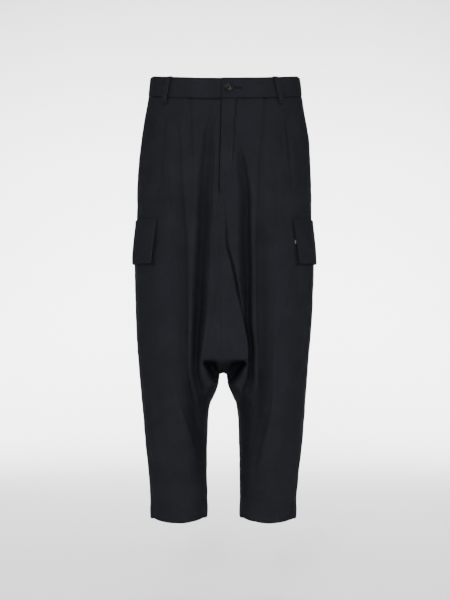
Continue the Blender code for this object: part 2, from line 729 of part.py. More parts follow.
def waistband(side):
    """One half of the waistband, from the centre back to its end at the front."""
    back_end = -base_row(side, "back", WAIST_SEAM)[2][-1] + SEAM / 2
    front_line = base_row(side, "front", WAIST_SEAM)[2][-1]
    past = BAND_OVERLAP if side == "left" else BAND_UNDERLAP
    step = BAND_STEP_LEFT if side == "left" else BAND_STEP_RIGHT
    places = np.concatenate(
        (
            np.linspace(back_end, 0, 15),
            np.linspace(0, front_line - BAND_STEP_RUN[1], 9)[1:],
            np.linspace(front_line - BAND_STEP_RUN[1], front_line + past, 9)[1:],
        )
    )
    outer = []
    inner = []
    for height in np.linspace(SEAM / 2, BAND_HEIGHT, 4):
        crown = 0.0006 if height > BAND_HEIGHT - 1e-6 else 0.0
        outer_row = []
        inner_row = []
        for place in places:
            behind_line = front_line - place
            near = 1 - ease((behind_line - BAND_STEP_RUN[0]) / (BAND_STEP_RUN[1] - BAND_STEP_RUN[0]))
            out = BAND_PROUD + step * float(near)
            outer_row.append(band_point(side, place, height, out - crown))
            inner_row.append(band_point(side, place, height, out - BAND_THICKNESS + crown))
        outer.append(outer_row)
        inner.append(inner_row)
    name = f"waistband_{side}"
    return wall(name, np.array(outer), np.array(inner), finish(name, COLOURS["cloth"], 0.8))


# ---------------------------------------------------------------- what lies on the cloth
def fly_shield():
    """The strip behind the front opening, made from the fronts' points moved in."""
    outer = []
    inner = []
    for drop in np.linspace(WAIST_SEAM + SEAM, FLY_END, 9):
        line = float(read(CENTRE, "front", drop))
        outer_row = []
        inner_row = []
        for x in np.linspace(line - FLY_TUCK, line + FLY_WIDTH, 7):
            side = "right" if x < line else "left"
            place = np.array([round_at_x(side, "front", drop, x)])
            point = points(side, drop, place)[0]
            lift = fly_lift(side, np.array([x]), drop)[0]
            point = point + np.array((0.0, lift, 0.0))
            facing = unit(normals(side, drop, place)[0] * np.array((1.0, 1.0, 0.0)))
            outer_row.append(point - (CLOTH + SHIELD_GAP) * facing)
            inner_row.append(point - (CLOTH + SHIELD_GAP + CLOTH) * facing)
        outer.append(outer_row)
        inner.append(inner_row)
    return wall("fly_shield", np.array(outer), np.array(inner), finish("fly_shield", COLOURS["cloth"], 0.85))


def flap(side):
    """A cargo flap, laid over the side seam and standing off at its lower edge."""
    top, foot = FLAP_LEVELS
    outer = []
    inner = []
    for share in (0.0, 0.12, 0.36, 0.60, 0.84, 1.0):
        outer_row = []
        inner_row = []
        for across in np.concatenate((np.linspace(0, 0.06, 2), np.linspace(0.06, 0.94, 11)[1:], [1.0])):
            corner = FLAP_CORNER * max(1 - min(across, 1 - across) / 0.06, 0.0) if share == 1.0 else 0.0
            drop = top + (foot - top) * share - corner
            front_x = FLAP_FRONT_X[side][0] + (FLAP_FRONT_X[side][1] - FLAP_FRONT_X[side][0]) * share
            front = round_at_x(side, "front", drop, front_x)
            place = front + (-FLAP_BACK - front) * across
            point = points(side, drop, place)[0]
            facing = normals(side, drop, place)[0]
            air = FLAP_SEAT + FLAP_STAND_OFF * float(ease(share * 1.25))
            inner_row.append(point + air * facing)
            outer_row.append(point + (air + FLAP_THICKNESS) * facing)
        outer.append(outer_row)
        inner.append(inner_row)
    name = f"flap_{side}"
    return wall(name, np.array(outer), np.array(inner), finish(name, COLOURS["cloth"], 0.85))


def flap_tab():
    """The small plain tab at the front edge of the left flap."""
    length, height, thickness = TAB_SIZE
    share = (TAB_DROP - FLAP_LEVELS[0]) / (FLAP_LEVELS[1] - FLAP_LEVELS[0])
    edge_x = FLAP_FRONT_X["left"][0] + (FLAP_FRONT_X["left"][1] - FLAP_FRONT_X["left"][0]) * share
    outer = []
    inner = []
    for drop in (TAB_DROP - height / 2, TAB_DROP + height / 2):
        edge = round_at_x("left", "front", drop, edge_x)
        outer_row = []
        inner_row = []
        for place in (edge + 0.0008, edge + 0.0008 + length):
            point = points("left", drop, place)[0]
            facing = normals("left", drop, place)[0]
            inner_row.append(point + FLAP_SEAT * facing)
            outer_row.append(point + (FLAP_SEAT + thickness) * facing)
        outer.append(outer_row)
        inner.append(inner_row)
    return wall("flap_tab", np.array(outer), np.array(inner), finish("flap_tab", COLOURS["tab"], 0.7))


def belt_loop(number, side, face, top_x, foot_x):
    """A belt loop, sewn to the band's top edge and to the cloth under the band."""
    inner_path = []
    spot_normals = []
    heights = LOOP_RUN["height"]
    for height, gap in zip(heights, LOOP_RUN["gap"]):
        down = (heights[0] - height) / (heights[0] - heights[-1])
        x = top_x + (foot_x - top_x) * down
        place = round_at_x(side, face, WAIST_SEAM, x)
        facing = band_normal(side, place)
        if height > -0.001:
            spot = band_point(side, place, height, BAND_PROUD + gap)
        else:
            level = WAIST_SEAM - height
            spot = points(side, level, round_at_x(side, face, level, x))[0] + gap * facing
            fade = min(-height / 0.004, 1.0)
            spot = spot + (1 - fade) * BAND_PROUD * facing
        inner_path.append(spot)
        spot_normals.append(facing)
    inner_path = np.array(inner_path)
    across = unit(np.cross((0.0, 0.0, 1.0), np.array(spot_normals)))
    run = unit(np.gradient(inner_path, axis=0))
    out = unit(np.cross(run, across))
    outer_path = inner_path + LOOP_THICKNESS * out
    edges = np.array((-LOOP_WIDTH / 2, 0.0, LOOP_WIDTH / 2))
    outer = outer_path[:, None] + across[:, None] * edges[None, :, None]
    inner = inner_path[:, None] + across[:, None] * edges[None, :, None]
    name = f"belt_loop_{number}"
    return wall(name, outer, inner, finish(name, COLOURS["cloth"], 0.8))


def button():
    """The waist button: a turned disc with a raised rim and four holes, on the band's front."""
    profile = (
        (0.0000, 0.0000),
        (0.0078, 0.0000),
        (0.0088, 0.0007),
        (0.0090, 0.0016),
        (0.0086, 0.0027),
        (0.0076, 0.0031),
        (0.0064, 0.0027),
        (0.0052, 0.0021),
        (0.0000, 0.0020),
    )
    scale = BUTTON_RADIUS / max(radius for radius, _ in profile)
    mesh = bmesh.new()
    spin_points = [mesh.verts.new((radius * scale, 0.0, height)) for radius, height in profile]
    for start, end in zip(spin_points, spin_points[1:]):
        mesh.edges.new((end, start))
    body = add_object("button", mesh, finish("button", COLOURS["button"], 0.25))
    screw = body.modifiers.new("turn", "SCREW")
    screw.steps = 24
    screw.render_steps = 24
    screw.use_merge_vertices = True
    screw.merge_threshold = 0.00001
    for k in range(4):
        angle = math.radians(45 + 90 * k)
        bpy.ops.mesh.primitive_cylinder_add(vertices=10, radius=0.0009, depth=0.01)
        hole = bpy.context.object
        hole.name = f"button_hole_cutter_{k + 1}"
        for holder in hole.users_collection:
            holder.objects.unlink(hole)
        cutters.objects.link(hole)
        hole.hide_render = True
        hole.display_type = "WIRE"
        hole.parent = body
        hole.location = (0.0021 * math.cos(angle), 0.0021 * math.sin(angle), 0.001)
        cut = body.modifiers.new(f"hole_{k + 1}", "BOOLEAN")
        cut.operation = "DIFFERENCE"
        cut.object = hole
    x, z = BUTTON_PLACE
    face_y = -max(-band_point("left", base_row("left", "front", WAIST_SEAM)[2][-1], h, 0)[1] for h in (0.01, 0.03))
    body.rotation_euler = (math.radians(90), 0.0, 0.0)
    body.location = (x, face_y - BAND_PROUD - BAND_STEP_LEFT - SEAM, z)
    return body


# ---------------------------------------------------------------- the whole garment
for old in list(bpy.data.objects):
    bpy.data.objects.remove(old, do_unlink=True)

trousers = bpy.data.collections.new("cargo_pants")
bpy.context.scene.collection.children.link(trousers)
cutters = bpy.data.collections.new("cutters")
bpy.context.scene.collection.children.link(cutters)

for half in SIDES:
    for half_face in FACES:
        panel(half, half_face)
    waistband(half)
    flap(half)
for count, loop in enumerate(LOOPS, start=1):
    belt_loop(count, *loop)
fly_shield()
flap_tab()
button()
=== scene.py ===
import logging
import math
from dataclasses import dataclass, field
from enum import Enum
from typing import Callable, Sequence

import bmesh
import bpy
import numpy as np
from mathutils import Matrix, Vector


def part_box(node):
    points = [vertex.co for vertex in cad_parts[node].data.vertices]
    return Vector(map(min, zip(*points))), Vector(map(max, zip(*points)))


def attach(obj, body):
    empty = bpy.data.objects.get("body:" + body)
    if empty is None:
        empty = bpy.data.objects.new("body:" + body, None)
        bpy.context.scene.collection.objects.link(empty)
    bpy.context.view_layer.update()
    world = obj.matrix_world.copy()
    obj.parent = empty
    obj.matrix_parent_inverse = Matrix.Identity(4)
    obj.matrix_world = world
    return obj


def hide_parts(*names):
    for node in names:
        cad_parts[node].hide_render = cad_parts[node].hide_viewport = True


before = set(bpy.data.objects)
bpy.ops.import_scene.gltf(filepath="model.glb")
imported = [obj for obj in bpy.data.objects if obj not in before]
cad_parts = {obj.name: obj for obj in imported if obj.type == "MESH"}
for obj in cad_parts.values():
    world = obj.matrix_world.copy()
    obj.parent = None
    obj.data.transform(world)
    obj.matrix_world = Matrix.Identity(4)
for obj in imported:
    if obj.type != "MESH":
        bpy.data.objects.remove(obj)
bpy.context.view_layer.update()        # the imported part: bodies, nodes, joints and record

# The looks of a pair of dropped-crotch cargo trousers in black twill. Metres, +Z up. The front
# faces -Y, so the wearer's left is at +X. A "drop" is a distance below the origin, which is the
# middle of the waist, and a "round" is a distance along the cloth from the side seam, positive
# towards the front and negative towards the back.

BODY = "root"
LOG = logging.getLogger("trousers")
Array = np.ndarray
Pair = tuple[float, float]
Triple = tuple[float, float, float]
Colour = Triple
Spot = tuple[Array, Array]      # a point and the outward normal there
Piece = bpy.types.Object
Socket = bpy.types.NodeSocket
Value = Socket | float | Sequence[float]
Inputs = dict[str | int, Value]


class Part(Enum):
    """A choice whose name is also a part of the nodes' names."""

    @property
    def word(self) -> str:
        """The name, as the nodes have it."""
        return self.name.lower()


class Side(Part):
    """A half of the garment, as the wearer has it, with the sign of its x."""

    RIGHT = -1
    LEFT = 1


class Face(Part):
    """A face of the garment, with the sign of its y."""

    FRONT = -1
    BACK = 1


class Hold(Enum):
    """How a piece of cloth is held."""

    DRAPED = "draped"
    STRETCHED = "stretched"
    FOLDED = "folded"


# ------------------------------------------------------------------------------ tables
@dataclass(frozen=True)
class Chart:
    """A short table with named columns, read along a smooth curve.

    Attributes:
        names: The columns' names, parted by spaces.
        text: The rows, parted by commas, and their numbers, parted by spaces.
        scale: How many of the numbers' units make a metre.
        columns: Each column's numbers by its name.
    """

    names: str
    text: str
    scale: float = 1.0
    columns: dict[str, Array] = field(init=False, compare=False, repr=False)

    def __post_init__(self) -> None:
        """Reads the rows, and keeps each column as an array."""
        rows = [[float(number) / self.scale for number in row.split()] for row in self.text.split(",")]
        object.__setattr__(self, "columns", dict(zip(self.names.split(), np.array(rows).T)))

    def read(self, column: str, place: Array | float, along: str = "drop") -> Array:
        """Reads a column on a curve that never overshoots its rows.

        Args:
            column: The column to read.
            place: Where to read it.
            along: The column that holds the places.

        Returns:
            The values at the places.
        """
        stations = self.columns[along]
        values = self.columns[column]
        place = np.clip(place, stations[0], stations[-1])
        steps = np.diff(stations)
        slopes = np.diff(values) / steps
        before, after = slopes[:-1], slopes[1:]
        same_way = before * after > 0
        middle = np.where(same_way, 2 * before * after / np.where(same_way, before + after, 1), 0)
        tangent = np.concatenate(([slopes[0]], middle, [slopes[-1]]))
        k = np.clip(np.searchsorted(stations, place, side="right") - 1, 0, len(steps) - 1)
        t = (place - stations[k]) / steps[k]
        start = values[k] * (1 + 2 * t) * (1 - t) ** 2 + tangent[k] * steps[k] * t * (1 - t) ** 2
        end = values[k + 1] * t**2 * (3 - 2 * t) - tangent[k + 1] * steps[k] * t**2 * (1 - t)
        return start + end


def fold_charts(**lines: str) -> dict[str, Chart]:
    """Makes the charts of some folds from their rows in millimetres.

    Args:
        **lines: Each fold's rows: a level, where the fold lies there, how deep it is (a ridge is
            negative), and how wide it is on its -X and on its +X side.

    Returns:
        The charts, in metres, by the folds' names.
    """
    return {name: Chart("drop x depth minus plus", rows, 1000) for name, rows in lines.items()}


SECTIONS = Chart("drop right left front back turn square", """
    0.018 0.1621 0.159 0.106 0.104 0.16 2.25, 0.043 0.1663 0.1625 0.109 0.11 0.162 2.25,
    0.081 0.1728 0.1691 0.112 0.122 0.165 2.3, 0.119 0.1783 0.1747 0.114 0.134 0.168 2.3,
    0.169 0.1829 0.1772 0.116 0.144 0.168 2.35, 0.219 0.1854 0.1785 0.116 0.147 0.166 2.35,
    0.27 0.186 0.1791 0.114 0.144 0.162 2.4, 0.371 0.1911 0.1838 0.11 0.13 0.15 2.4,
    0.471 0.1894 0.1808 0.106 0.116 0.13 2.3, 0.572 0.1835 0.1733 0.1 0.105 0.112 2.2,
    0.673 0.1751 0.1657 0.092 0.095 0.088 2.1, 0.732 0.1697 0.1604 0.085 0.087 0.078 2.05,
    0.799 0.163 0.1537 0.075 0.077 0.068 2, 0.866 0.159 0.1483 0.064 0.066 0.061 2,
    0.903 0.1586 0.1481 0.058 0.06 0.06 2
""")
CENTRE = Chart("drop front back", """
    0.018 -0.0084 -0.002, 0.126 -0.0104 -0.003, 0.226 -0.013 -0.004, 0.366 -0.013 -0.005,
    0.486 -0.01 -0.006, 0.57 -0.007 -0.006, 0.599 -0.006 -0.006
""")
INSEAM = Chart("drop right left", """
    0.599 -0.006 -0.006, 0.6003 -0.0116 -0.0004, 0.603 -0.0133 0.0013, 0.61 -0.0137 0.0019,
    0.623 -0.016 0.004, 0.635 -0.02 0.0086, 0.648 -0.0256 0.0145, 0.66 -0.0315 0.02, 0.673 -0.0349 0.0227,
    0.698 -0.037 0.0254, 0.732 -0.0386 0.0265, 0.799 -0.0399 0.0281, 0.866 -0.0391 0.0286,
    0.903 -0.0386 0.0275
""")
SLING = Chart("drop share", """
    0.555 1, 0.563 0.995, 0.568 0.96, 0.5715 0.88, 0.575 0.75, 0.581 0.55, 0.588 0.33, 0.594 0.15, 0.599 0
""")
HOLLOW = Chart("drop right left depth ramp open edge", """
    0.566 0.036 0.046 0 0.008 0 0.01, 0.57 0.035 0.045 0.15 0.008 0.01 0.01,
    0.575 0.034 0.044 0.5 0.008 0.04 0.01, 0.586 0.028 0.036 0.58 0.009 0.16 0.01,
    0.599 0.021 0.028 0.4 0.012 0.28 0.009, 0.603 0.019 0.025 0.4 0.012 0.31 0.009,
    0.612 0.01 0.014 0.2 0.016 0.34 0.01, 0.623 0 0 0 0.028 0.2 0.014, 0.648 0 0 0 0.045 0 0.02,
    0.673 0 0 0 0.056 0 0.02, 0.732 0 0 0 0.06 0 0.02, 0.903 0 0 0 0.06 0 0.02
""")

FOLDS = {
    Face.FRONT: fold_charts(
        main_right="""54 -20 0 10 10, 76 -24.4 3 12 12, 106 -34.4 7 14 14, 146 -38 11 14 18,
            196 -42.2 14 15 20, 246 -44.6 17 16 20, 326 -48 20 16 20, 406 -52.4 22 16 20,
            486 -56 24 14 18, 546 -59.4 25 14 13, 586 -60.6 19 14 11, 622 -52.6 12 16 12,
            652 -44.6 6 14 12, 675 -40 0 10 10""",
        minor_right="""60 -100 0 12 8, 90 -99 2 14 8, 146 -94 4 16 8, 200 -93 5 18 9, 260 -90 7 22 11,
            326 -84 9 27 12, 546 -82 10 27 11, 606 -78 10 27 11, 646 -72 10 26 12, 700 -62 8 26 14,
            760 -55 5 24 12, 830 -50 0 20 10""",
        pleat_right="18 -71.2 2.6 10 4, 90 -71.2 3 10 4, 136 -69 2.8 11 5, 180 -65 0 12 6",
        main_left="""100 26 0 10 10, 136 26.8 4 14 8, 176 33.6 10 18 9, 216 40 14 18 10, 246 41 17 19 11,
            326 41 20 19 12, 406 43 22 18 12, 486 44.5 24 10 12, 546 50.5 25 7 11, 596 49 18 8 11,
            630 41 10 12 14, 656 34 5 12 14, 680 30 0 10 10""",
        drape_edge_left="""285 -1 0 3 5, 336 2 4 3 6, 372 11.4 6 3 6, 446 27.4 6 3 6, 482 38 5 3 6,
            516 44 3 3 6, 540 48 0 3 5""",
        minor_left="""18 79 2.6 4 10, 90 77 3 6 10, 166 70 5 8 12, 246 68 6 9 16, 326 66 8 10 26,
            406 66 9 10 30, 486 66 9 10 30, 546 68 9 10 28, 606 74 9 14 22, 646 78 9 20 18,
            700 70 8 18 18, 760 60 5 14 16, 830 50 0 10 10""",
        drape_swell="300 -8 0 30 30, 450 -6 -4 38 38, 545 -4 -6 44 44, 575 -4 0 44 44",
    ),
    Face.BACK: fold_charts(
        main_right="""200 -30 0 12 12, 280 -38 5 14 16, 360 -45 10 15 18, 440 -50 15 15 16,
            520 -57 19 14 11, 575 -58.5 18 14 10, 625 -50 12 16 14, 660 -43 5 14 12, 690 -40 0 10 10""",
        main_left="""230 20 0 12 12, 300 29 6 16 14, 380 37 12 17 14, 460 45 17 14 14, 530 52 20 10 14,
            580 53 17 9 14, 630 43 10 13 16, 665 35 4 12 14, 690 28 0 10 10""",
        minor_right="""300 -94 0 20 10, 400 -90 5 24 12, 520 -88 8 26 12, 610 -80 8 26 13,
            690 -66 6 22 12, 780 -55 0 18 10""",
        minor_left="""340 78 0 10 20, 440 76 6 12 24, 540 74 8 12 26, 620 67 7 13 24, 700 56 5 12 20,
            800 45 0 10 16""",
        seat="80 -3 0 20 20, 200 -4 4 30 30, 300 -5 4 30 30, 420 -6 0 30 30",
        drape_swell="380 -6 0 30 30, 540 -6 -5 42 42, 575 -6 0 44 44",
    ),
}

# Finer creases, laid over the folds.
CREASES = {
    Face.FRONT: fold_charts(
        pocket_mouth_right="""78 -121.8 0 4 2.5, 90 -122.6 1.4 5 2.5, 160 -128.2 1.8 6 3,
            220 -132.2 1.2 5 2.5, 230 -133 0 4 2.5""",
        pocket_mouth_left="""78 119.6 0 2.5 4, 90 120.4 2 2.5 5, 150 126.2 2.6 3 6, 220 132.2 1.4 2.5 5,
            230 133 0 2.5 4""",
        fly_stitch="""40 22.2 1.4 2.4 2.2, 80 18.4 2.4 2.4 2.2, 146 15.6 2.2 2.4 2.2, 190 11 0.6 3.5 3.5,
            222 0 0 3 3""",
        fly_ridge="30 17 -0.6 6 4.5, 90 13.5 -0.8 6 4.5, 160 10 0 6 4.5",
        lobe_ridge_right="""75 -89 0 6 6, 110 -88.4 -1.6 6 7, 150 -86.2 -1.2 6 7, 240 -80 -1 7 7,
            300 -76 0 6 6""",
        pleat_edge_right="60 -64 0 6 8, 110 -62 -1.4 6 9, 180 -60 -1 7 8, 260 -64 0 6 6",
        centre_ridge_right="""100 -13 0 5 3, 130 -15 -1.6 5 3.5, 180 -20.6 -1.6 6 5, 240 -23 -0.8 6 6,
            300 -25 0 6 6""",
        centre_ridge_left="140 -4.5 0 5 6, 180 -6 -1.4 5 7, 230 -6.6 -0.6 5 6, 260 -6 0 5 5",
        drape_start="236 -4 0 3.5 3.5, 262 -2 1.6 4 4, 296 0.6 1.4 3.5 4, 330 2 0 3 3",
        drape_edge="""285 -1 0 2.2 2.2, 336 2 1.8 2.4 2.6, 372 11.4 2.6 2.4 3, 446 27.4 2.4 2.4 3,
            500 41 1.8 2.4 3, 545 48 0 2.2 2.4""",
        valley_rim_left="""150 30 0 2.2 2.2, 180 35.6 1.6 2.4 2.6, 240 43.4 2 2.4 2.6,
            330 45.6 1.6 2.4 2.6, 450 48.6 1.4 2.4 2.6, 530 51 0 2.2 2.2""",
        drape_line="290 -10.4 0 3 3, 320 -9 1 3.5 3.5, 350 -6 0 3 3",
        drape_glint="290 -19 0 8 8, 335 -17 -1.6 9 8, 380 -15 0 8 8",
        drape_shade="400 -17 0 10 8, 430 -19 1.6 10 8, 490 -29 1.2 11 8, 540 -36 0 8 8",
        lobe_edge_right="""200 -113.6 0 3 8, 240 -112 1.4 3 10, 330 -110 1.2 3.5 12, 536 -109 1.2 3.5 14,
            606 -103 1.4 3.5 14, 646 -94 1.4 3.5 14, 686 -80 1.2 3.5 12, 726 -68 1 3.5 10,
            776 -60 0.6 3.5 8, 820 -54 0 3 6""",
        lobe_edge_left="""200 100 0 8 3, 260 104 1.2 10 3.5, 326 99 1 10 3.5, 406 100 1.2 12 3.5,
            546 95 1.4 12 3.5, 646 92 1.8 12 3.5, 686 85 1.8 12 3.5, 726 74 1.4 10 3.5, 786 62 0.8 8 3.5,
            830 58 0 6 3""",
        knee_ridge_right="""540 -76 0 5 5, 590 -73 -1.4 5 4.5, 625 -65 -1.8 5 4.5, 655 -56 -1.2 5 4.5,
            690 -49 0 5 5""",
        knee_ridge_left="""560 60 0 4.5 5, 600 62.2 -1.4 4.5 5, 636 59 -1.8 4.5 5, 664 49 -1.4 4.5 5,
            700 44 0 5 5""",
        knee_nick_left="612 36 0 3 3, 634 35 2 3.5 4, 660 34 0 3 3",
        outer_right="560 -142 0 12 14, 660 -138 1.2 14 16, 740 -126 1 12 16, 830 -116 0 10 12",
        outer_left="610 130 0 12 12, 700 124 1.2 14 12, 790 110 1 14 12, 860 104 0 10 10",
    ),
    Face.BACK: fold_charts(
        seat_right="240 -70 0 12 8, 330 -74 2 14 8, 460 -72 0 10 8",
        seat_left="270 56 0 8 12, 360 60 1.8 8 14, 480 60 0 8 10",
        lobe_edge_right="""320 -116 0 3.5 10, 440 -114 1.2 3.5 12, 600 -106 1.4 3.5 14,
            700 -86 1.2 3.5 12, 800 -66 0 3.5 8""",
        lobe_edge_left="""340 104 0 10 3.5, 460 102 1.2 12 3.5, 610 96 1.4 14 3.5, 700 78 1.2 12 3.5,
            790 60 0 8 3.5""",
        knee_right="590 -120 0 10 14, 670 -108 1.8 12 14, 760 -98 0 10 10",
        knee_left="620 112 0 14 10, 690 100 1.8 14 12, 780 90 0 10 10",
        drape_line="300 6 0 6 4, 400 12 1.4 7 4.5, 500 22 1 7 4.5, 545 26 0 5 4",
        centre_ridge="60 -6 0 5 3, 140 -8 -1 6 4, 260 -10 0 5 3",
    ),
}

# Painted shade where cloth lies turned away or pressed against itself: as the folds, but with the
# share of the full painted shade in thousandths for their depth.
PAINTED_SHADES = {
    Face.FRONT: fold_charts(
        inner_right="""575 -50 0 40 25, 600 -52 420 40 36, 646 -56 600 36 40, 706 -56 400 30 40,
            766 -48 330 22 34, 840 -44 200 20 25, 885 -42 0 16 20""",
        inner_left="""575 52 0 30 40, 600 52 380 40 42, 646 56 440 44 38, 706 50 460 40 28,
            766 42 400 30 22, 840 38 240 22 18, 885 36 0 16 14""",
        thigh_left="240 84 0 14 14, 330 84 170 16 12, 526 84 270 20 16, 590 84 220 20 16, 620 82 0 20 16",
        fly_line="""44 20.8 0 2.6 2.6, 50 20.4 750 2.6 2.6, 75 18.6 650 2.6 2.6, 100 17.2 400 2.6 2.6,
            150 15.4 200 2.6 2.6, 180 12 0 2.6 2.6""",
        beside_flap_right="281 -137.6 0 3 5, 288 -138 550 3 5, 372 -146.6 650 3 6, 379 -147 0 3 5",
        beside_flap_left="281 133.6 0 5 3, 288 134.2 550 5 3, 372 144.6 650 6 3, 379 145 0 5 3",
    ),
    Face.BACK: fold_charts(
        inner_right="""575 -50 0 36 25, 610 -52 520 38 36, 660 -54 620 34 38, 740 -48 420 26 34,
            830 -44 0 20 25""",
        inner_left="575 50 0 30 36, 610 50 500 38 38, 660 50 600 38 34, 740 44 420 34 24, 830 38 0 22 18",
    ),
}

# Level creases near the knees and hems: x of the middle, drop, half length, half height, depth
# and slope.
LEVEL_CREASES = {
    Face.FRONT: (
        (-0.066, 0.816, 0.026, 0.006, 0.0014, 0.10),
        (-0.104, 0.786, 0.030, 0.008, 0.0009, -0.16),
        (0.070, 0.838, 0.024, 0.007, 0.0011, -0.12),
        (0.104, 0.772, 0.026, 0.008, 0.0008, 0.18),
        (-0.140, 0.232, 0.020, 0.006, 0.0009, 0.55),
        (-0.126, 0.252, 0.014, 0.005, 0.0010, 1.10),
        (0.116, 0.262, 0.018, 0.006, 0.0009, -0.70),
    ),
    Face.BACK: (
        (-0.094, 0.688, 0.050, 0.014, 0.0022, 0.30),
        (-0.104, 0.724, 0.044, 0.012, 0.0018, 0.14),
        (-0.084, 0.758, 0.036, 0.012, 0.0014, -0.16),
        (0.084, 0.700, 0.050, 0.014, 0.0022, -0.28),
        (0.094, 0.738, 0.044, 0.012, 0.0018, -0.10),
        (0.076, 0.772, 0.034, 0.012, 0.0013, 0.16),
        (-0.060, 0.236, 0.034, 0.008, 0.0014, -0.35),
        (0.052, 0.246, 0.034, 0.008, 0.0014, 0.35),
    ),
}

# The grid's guide lines past the valleys, in millimetres: a level, the valley's rim and the foot of
# the crotch's hollow.
GUIDES = {
    (Face.FRONT, Side.RIGHT): Chart("drop lip drape", """30 -17 -12.5, 100 -23 -15, 300 -28 -21,
        400 -33 -24, 500 -42 -31, 550 -47.5 -38.5, 575 -48.5 -40, 586 -44 -34, 600 -38 -26.5,
        612 -32 -18, 625 -33 -22.5, 650 -39 -32.5, 700 -47.5 -42, 903 -50 -45""", 1000),
    (Face.FRONT, Side.LEFT): Chart("drop lip drape", """30 12 0, 100 14 1, 300 22 1, 350 24 6,
        400 30 17, 450 36 26, 500 40.5 32, 550 44.5 37, 575 44.5 36.5, 586 40 30, 600 34.5 22,
        612 26.5 9.5, 625 25 12, 650 28 21.5, 700 37 31, 903 39 33.5""", 1000),
    (Face.BACK, Side.RIGHT): Chart("drop lip drape", """50 -22 -11, 280 -26 -14, 440 -35 -23,
        550 -47.5 -38.5, 575 -48.5 -40, 586 -44 -34, 600 -38 -26.5, 612 -32 -18, 625 -33 -22.5,
        650 -39 -32.5, 700 -47.5 -42, 903 -51 -45""", 1000),
    (Face.BACK, Side.LEFT): Chart("drop lip drape", """50 12 4, 280 16 5, 440 30 16, 550 44.5 37,
        575 44.5 36.5, 586 40 30, 600 34.5 22, 612 26.5 9.5, 625 25 12, 650 29 21.5, 700 37.5 31,
        903 41 35""", 1000),
}


# ------------------------------------------------------------------------------ small mathematics
def ease(t: Array | float) -> Array:
    """A smooth step from 0 to 1."""
    t = np.clip(t, 0.0, 1.0)
    return t * t * (3 - 2 * t)


def quarter(t: Array | float) -> Array:
    """A quarter circle's height, from 0 where it is upright to 1 where it is level."""
    t = np.clip(t, 0.0, 1.0)
    return np.sqrt(1 - (1 - t) ** 2)


def bell(away: Array | float, width: float) -> Array:
    """A smooth bump: 1 in its middle, and nearly 0 at twice its width."""
    return np.exp(-((away / width) ** 2))


def fold_shape(q: Array) -> Array:
    """A fold's cross-section: 1 in its middle, 0 at its rim, with a soft crease at both."""
    q = np.clip(q, 0.0, 1.0)
    return 0.6 * (0.5 + 0.5 * np.cos(np.pi * q)) + 0.4 * (1 - q)


def soft_shape(q: Array) -> Array:
    """A fine crease's cross-section, round in its middle and at its rim."""
    return 0.5 + 0.5 * np.cos(np.pi * np.clip(q, 0.0, 1.0))


def broad_shape(q: Array) -> Array:
    """A flat-topped patch's cross-section, with soft rims."""
    return np.clip(1.7 * soft_shape(q), 0.0, 1.0)


def unit(v: Array) -> Array:
    """Vectors at length 1."""
    return v / np.maximum(np.linalg.norm(v, axis=-1, keepdims=True), 1e-12)


def running(steps: Array) -> Array:
    """The whole way gone at each point of a path, from the lengths of its steps."""
    return np.concatenate(([0.0], np.cumsum(steps)))


def ripple(u: Array | float, v: Array | float, size: float, seed: int, waves: int = 9) -> Array:
    """A gentle irregular relief, made of a few waves across the cloth.

    Args:
        u: Distance across the cloth.
        v: Distance down it.
        size: A wave's usual length.
        seed: Which relief of this kind it is.
        waves: How many waves it is made of.

    Returns:
        Heights from about -1 to 1.
    """
    draw = np.random.default_rng(seed)
    total = np.zeros(np.broadcast(u, v).shape)
    for _ in range(waves):
        angle, phase = draw.uniform(0, 2 * math.pi, 2)
        length = size * draw.uniform(0.7, 1.7)
        total += np.sin(2 * math.pi * (u * math.cos(angle) + v * math.sin(angle)) / length + phase)
    return total / math.sqrt(waves) * 0.7


def edge_spaced(length: float, step: float, edge: Sequence[float] = (0.0004, 0.0010, 0.0019)) -> Array:
    """Distances along a length that crowd at both ends, where a rounded edge needs them.

    Args:
        length: The whole length.
        step: The usual spacing.
        edge: The distances from each end at which a point lies.

    Returns:
        The distances, from 0 to the length.
    """
    edge = np.array(edge)
    inner = length - 2 * edge[-1]
    middle = np.linspace(edge[-1], length - edge[-1], max(int(round(inner / step)), 2) + 1)
    return np.concatenate(([0.0], edge[:-1], middle, length - edge[:-1][::-1], [length]))


def from_edges(across: Array, down: Array) -> Array:
    """How far each point of a grid lies from the nearest edge of its piece.

    Args:
        across: The columns' places, from one edge to the other.
        down: The rows' places, from one edge to the other.

    Returns:
        The distances, as rows by columns.
    """
    wide = np.minimum(across - across[0], across[-1] - across)
    tall = np.minimum(down - down[0], down[-1] - down)
    return np.minimum(wide[None, :], tall[:, None])


# ------------------------------------------------------------------------------ the form
def outward_normals(points: Array, out: Array) -> Array:
    """The normals of a grid of points, on the side of a rough direction.

    Args:
        points: The grid, as rows by columns by 3.
        out: The rough outward direction.

    Returns:
        The normals.
    """
    facing = unit(np.cross(np.gradient(points, axis=1), np.gradient(points, axis=0)))
    return facing * (-1.0 if np.sum(facing * out) < 0 else 1.0)


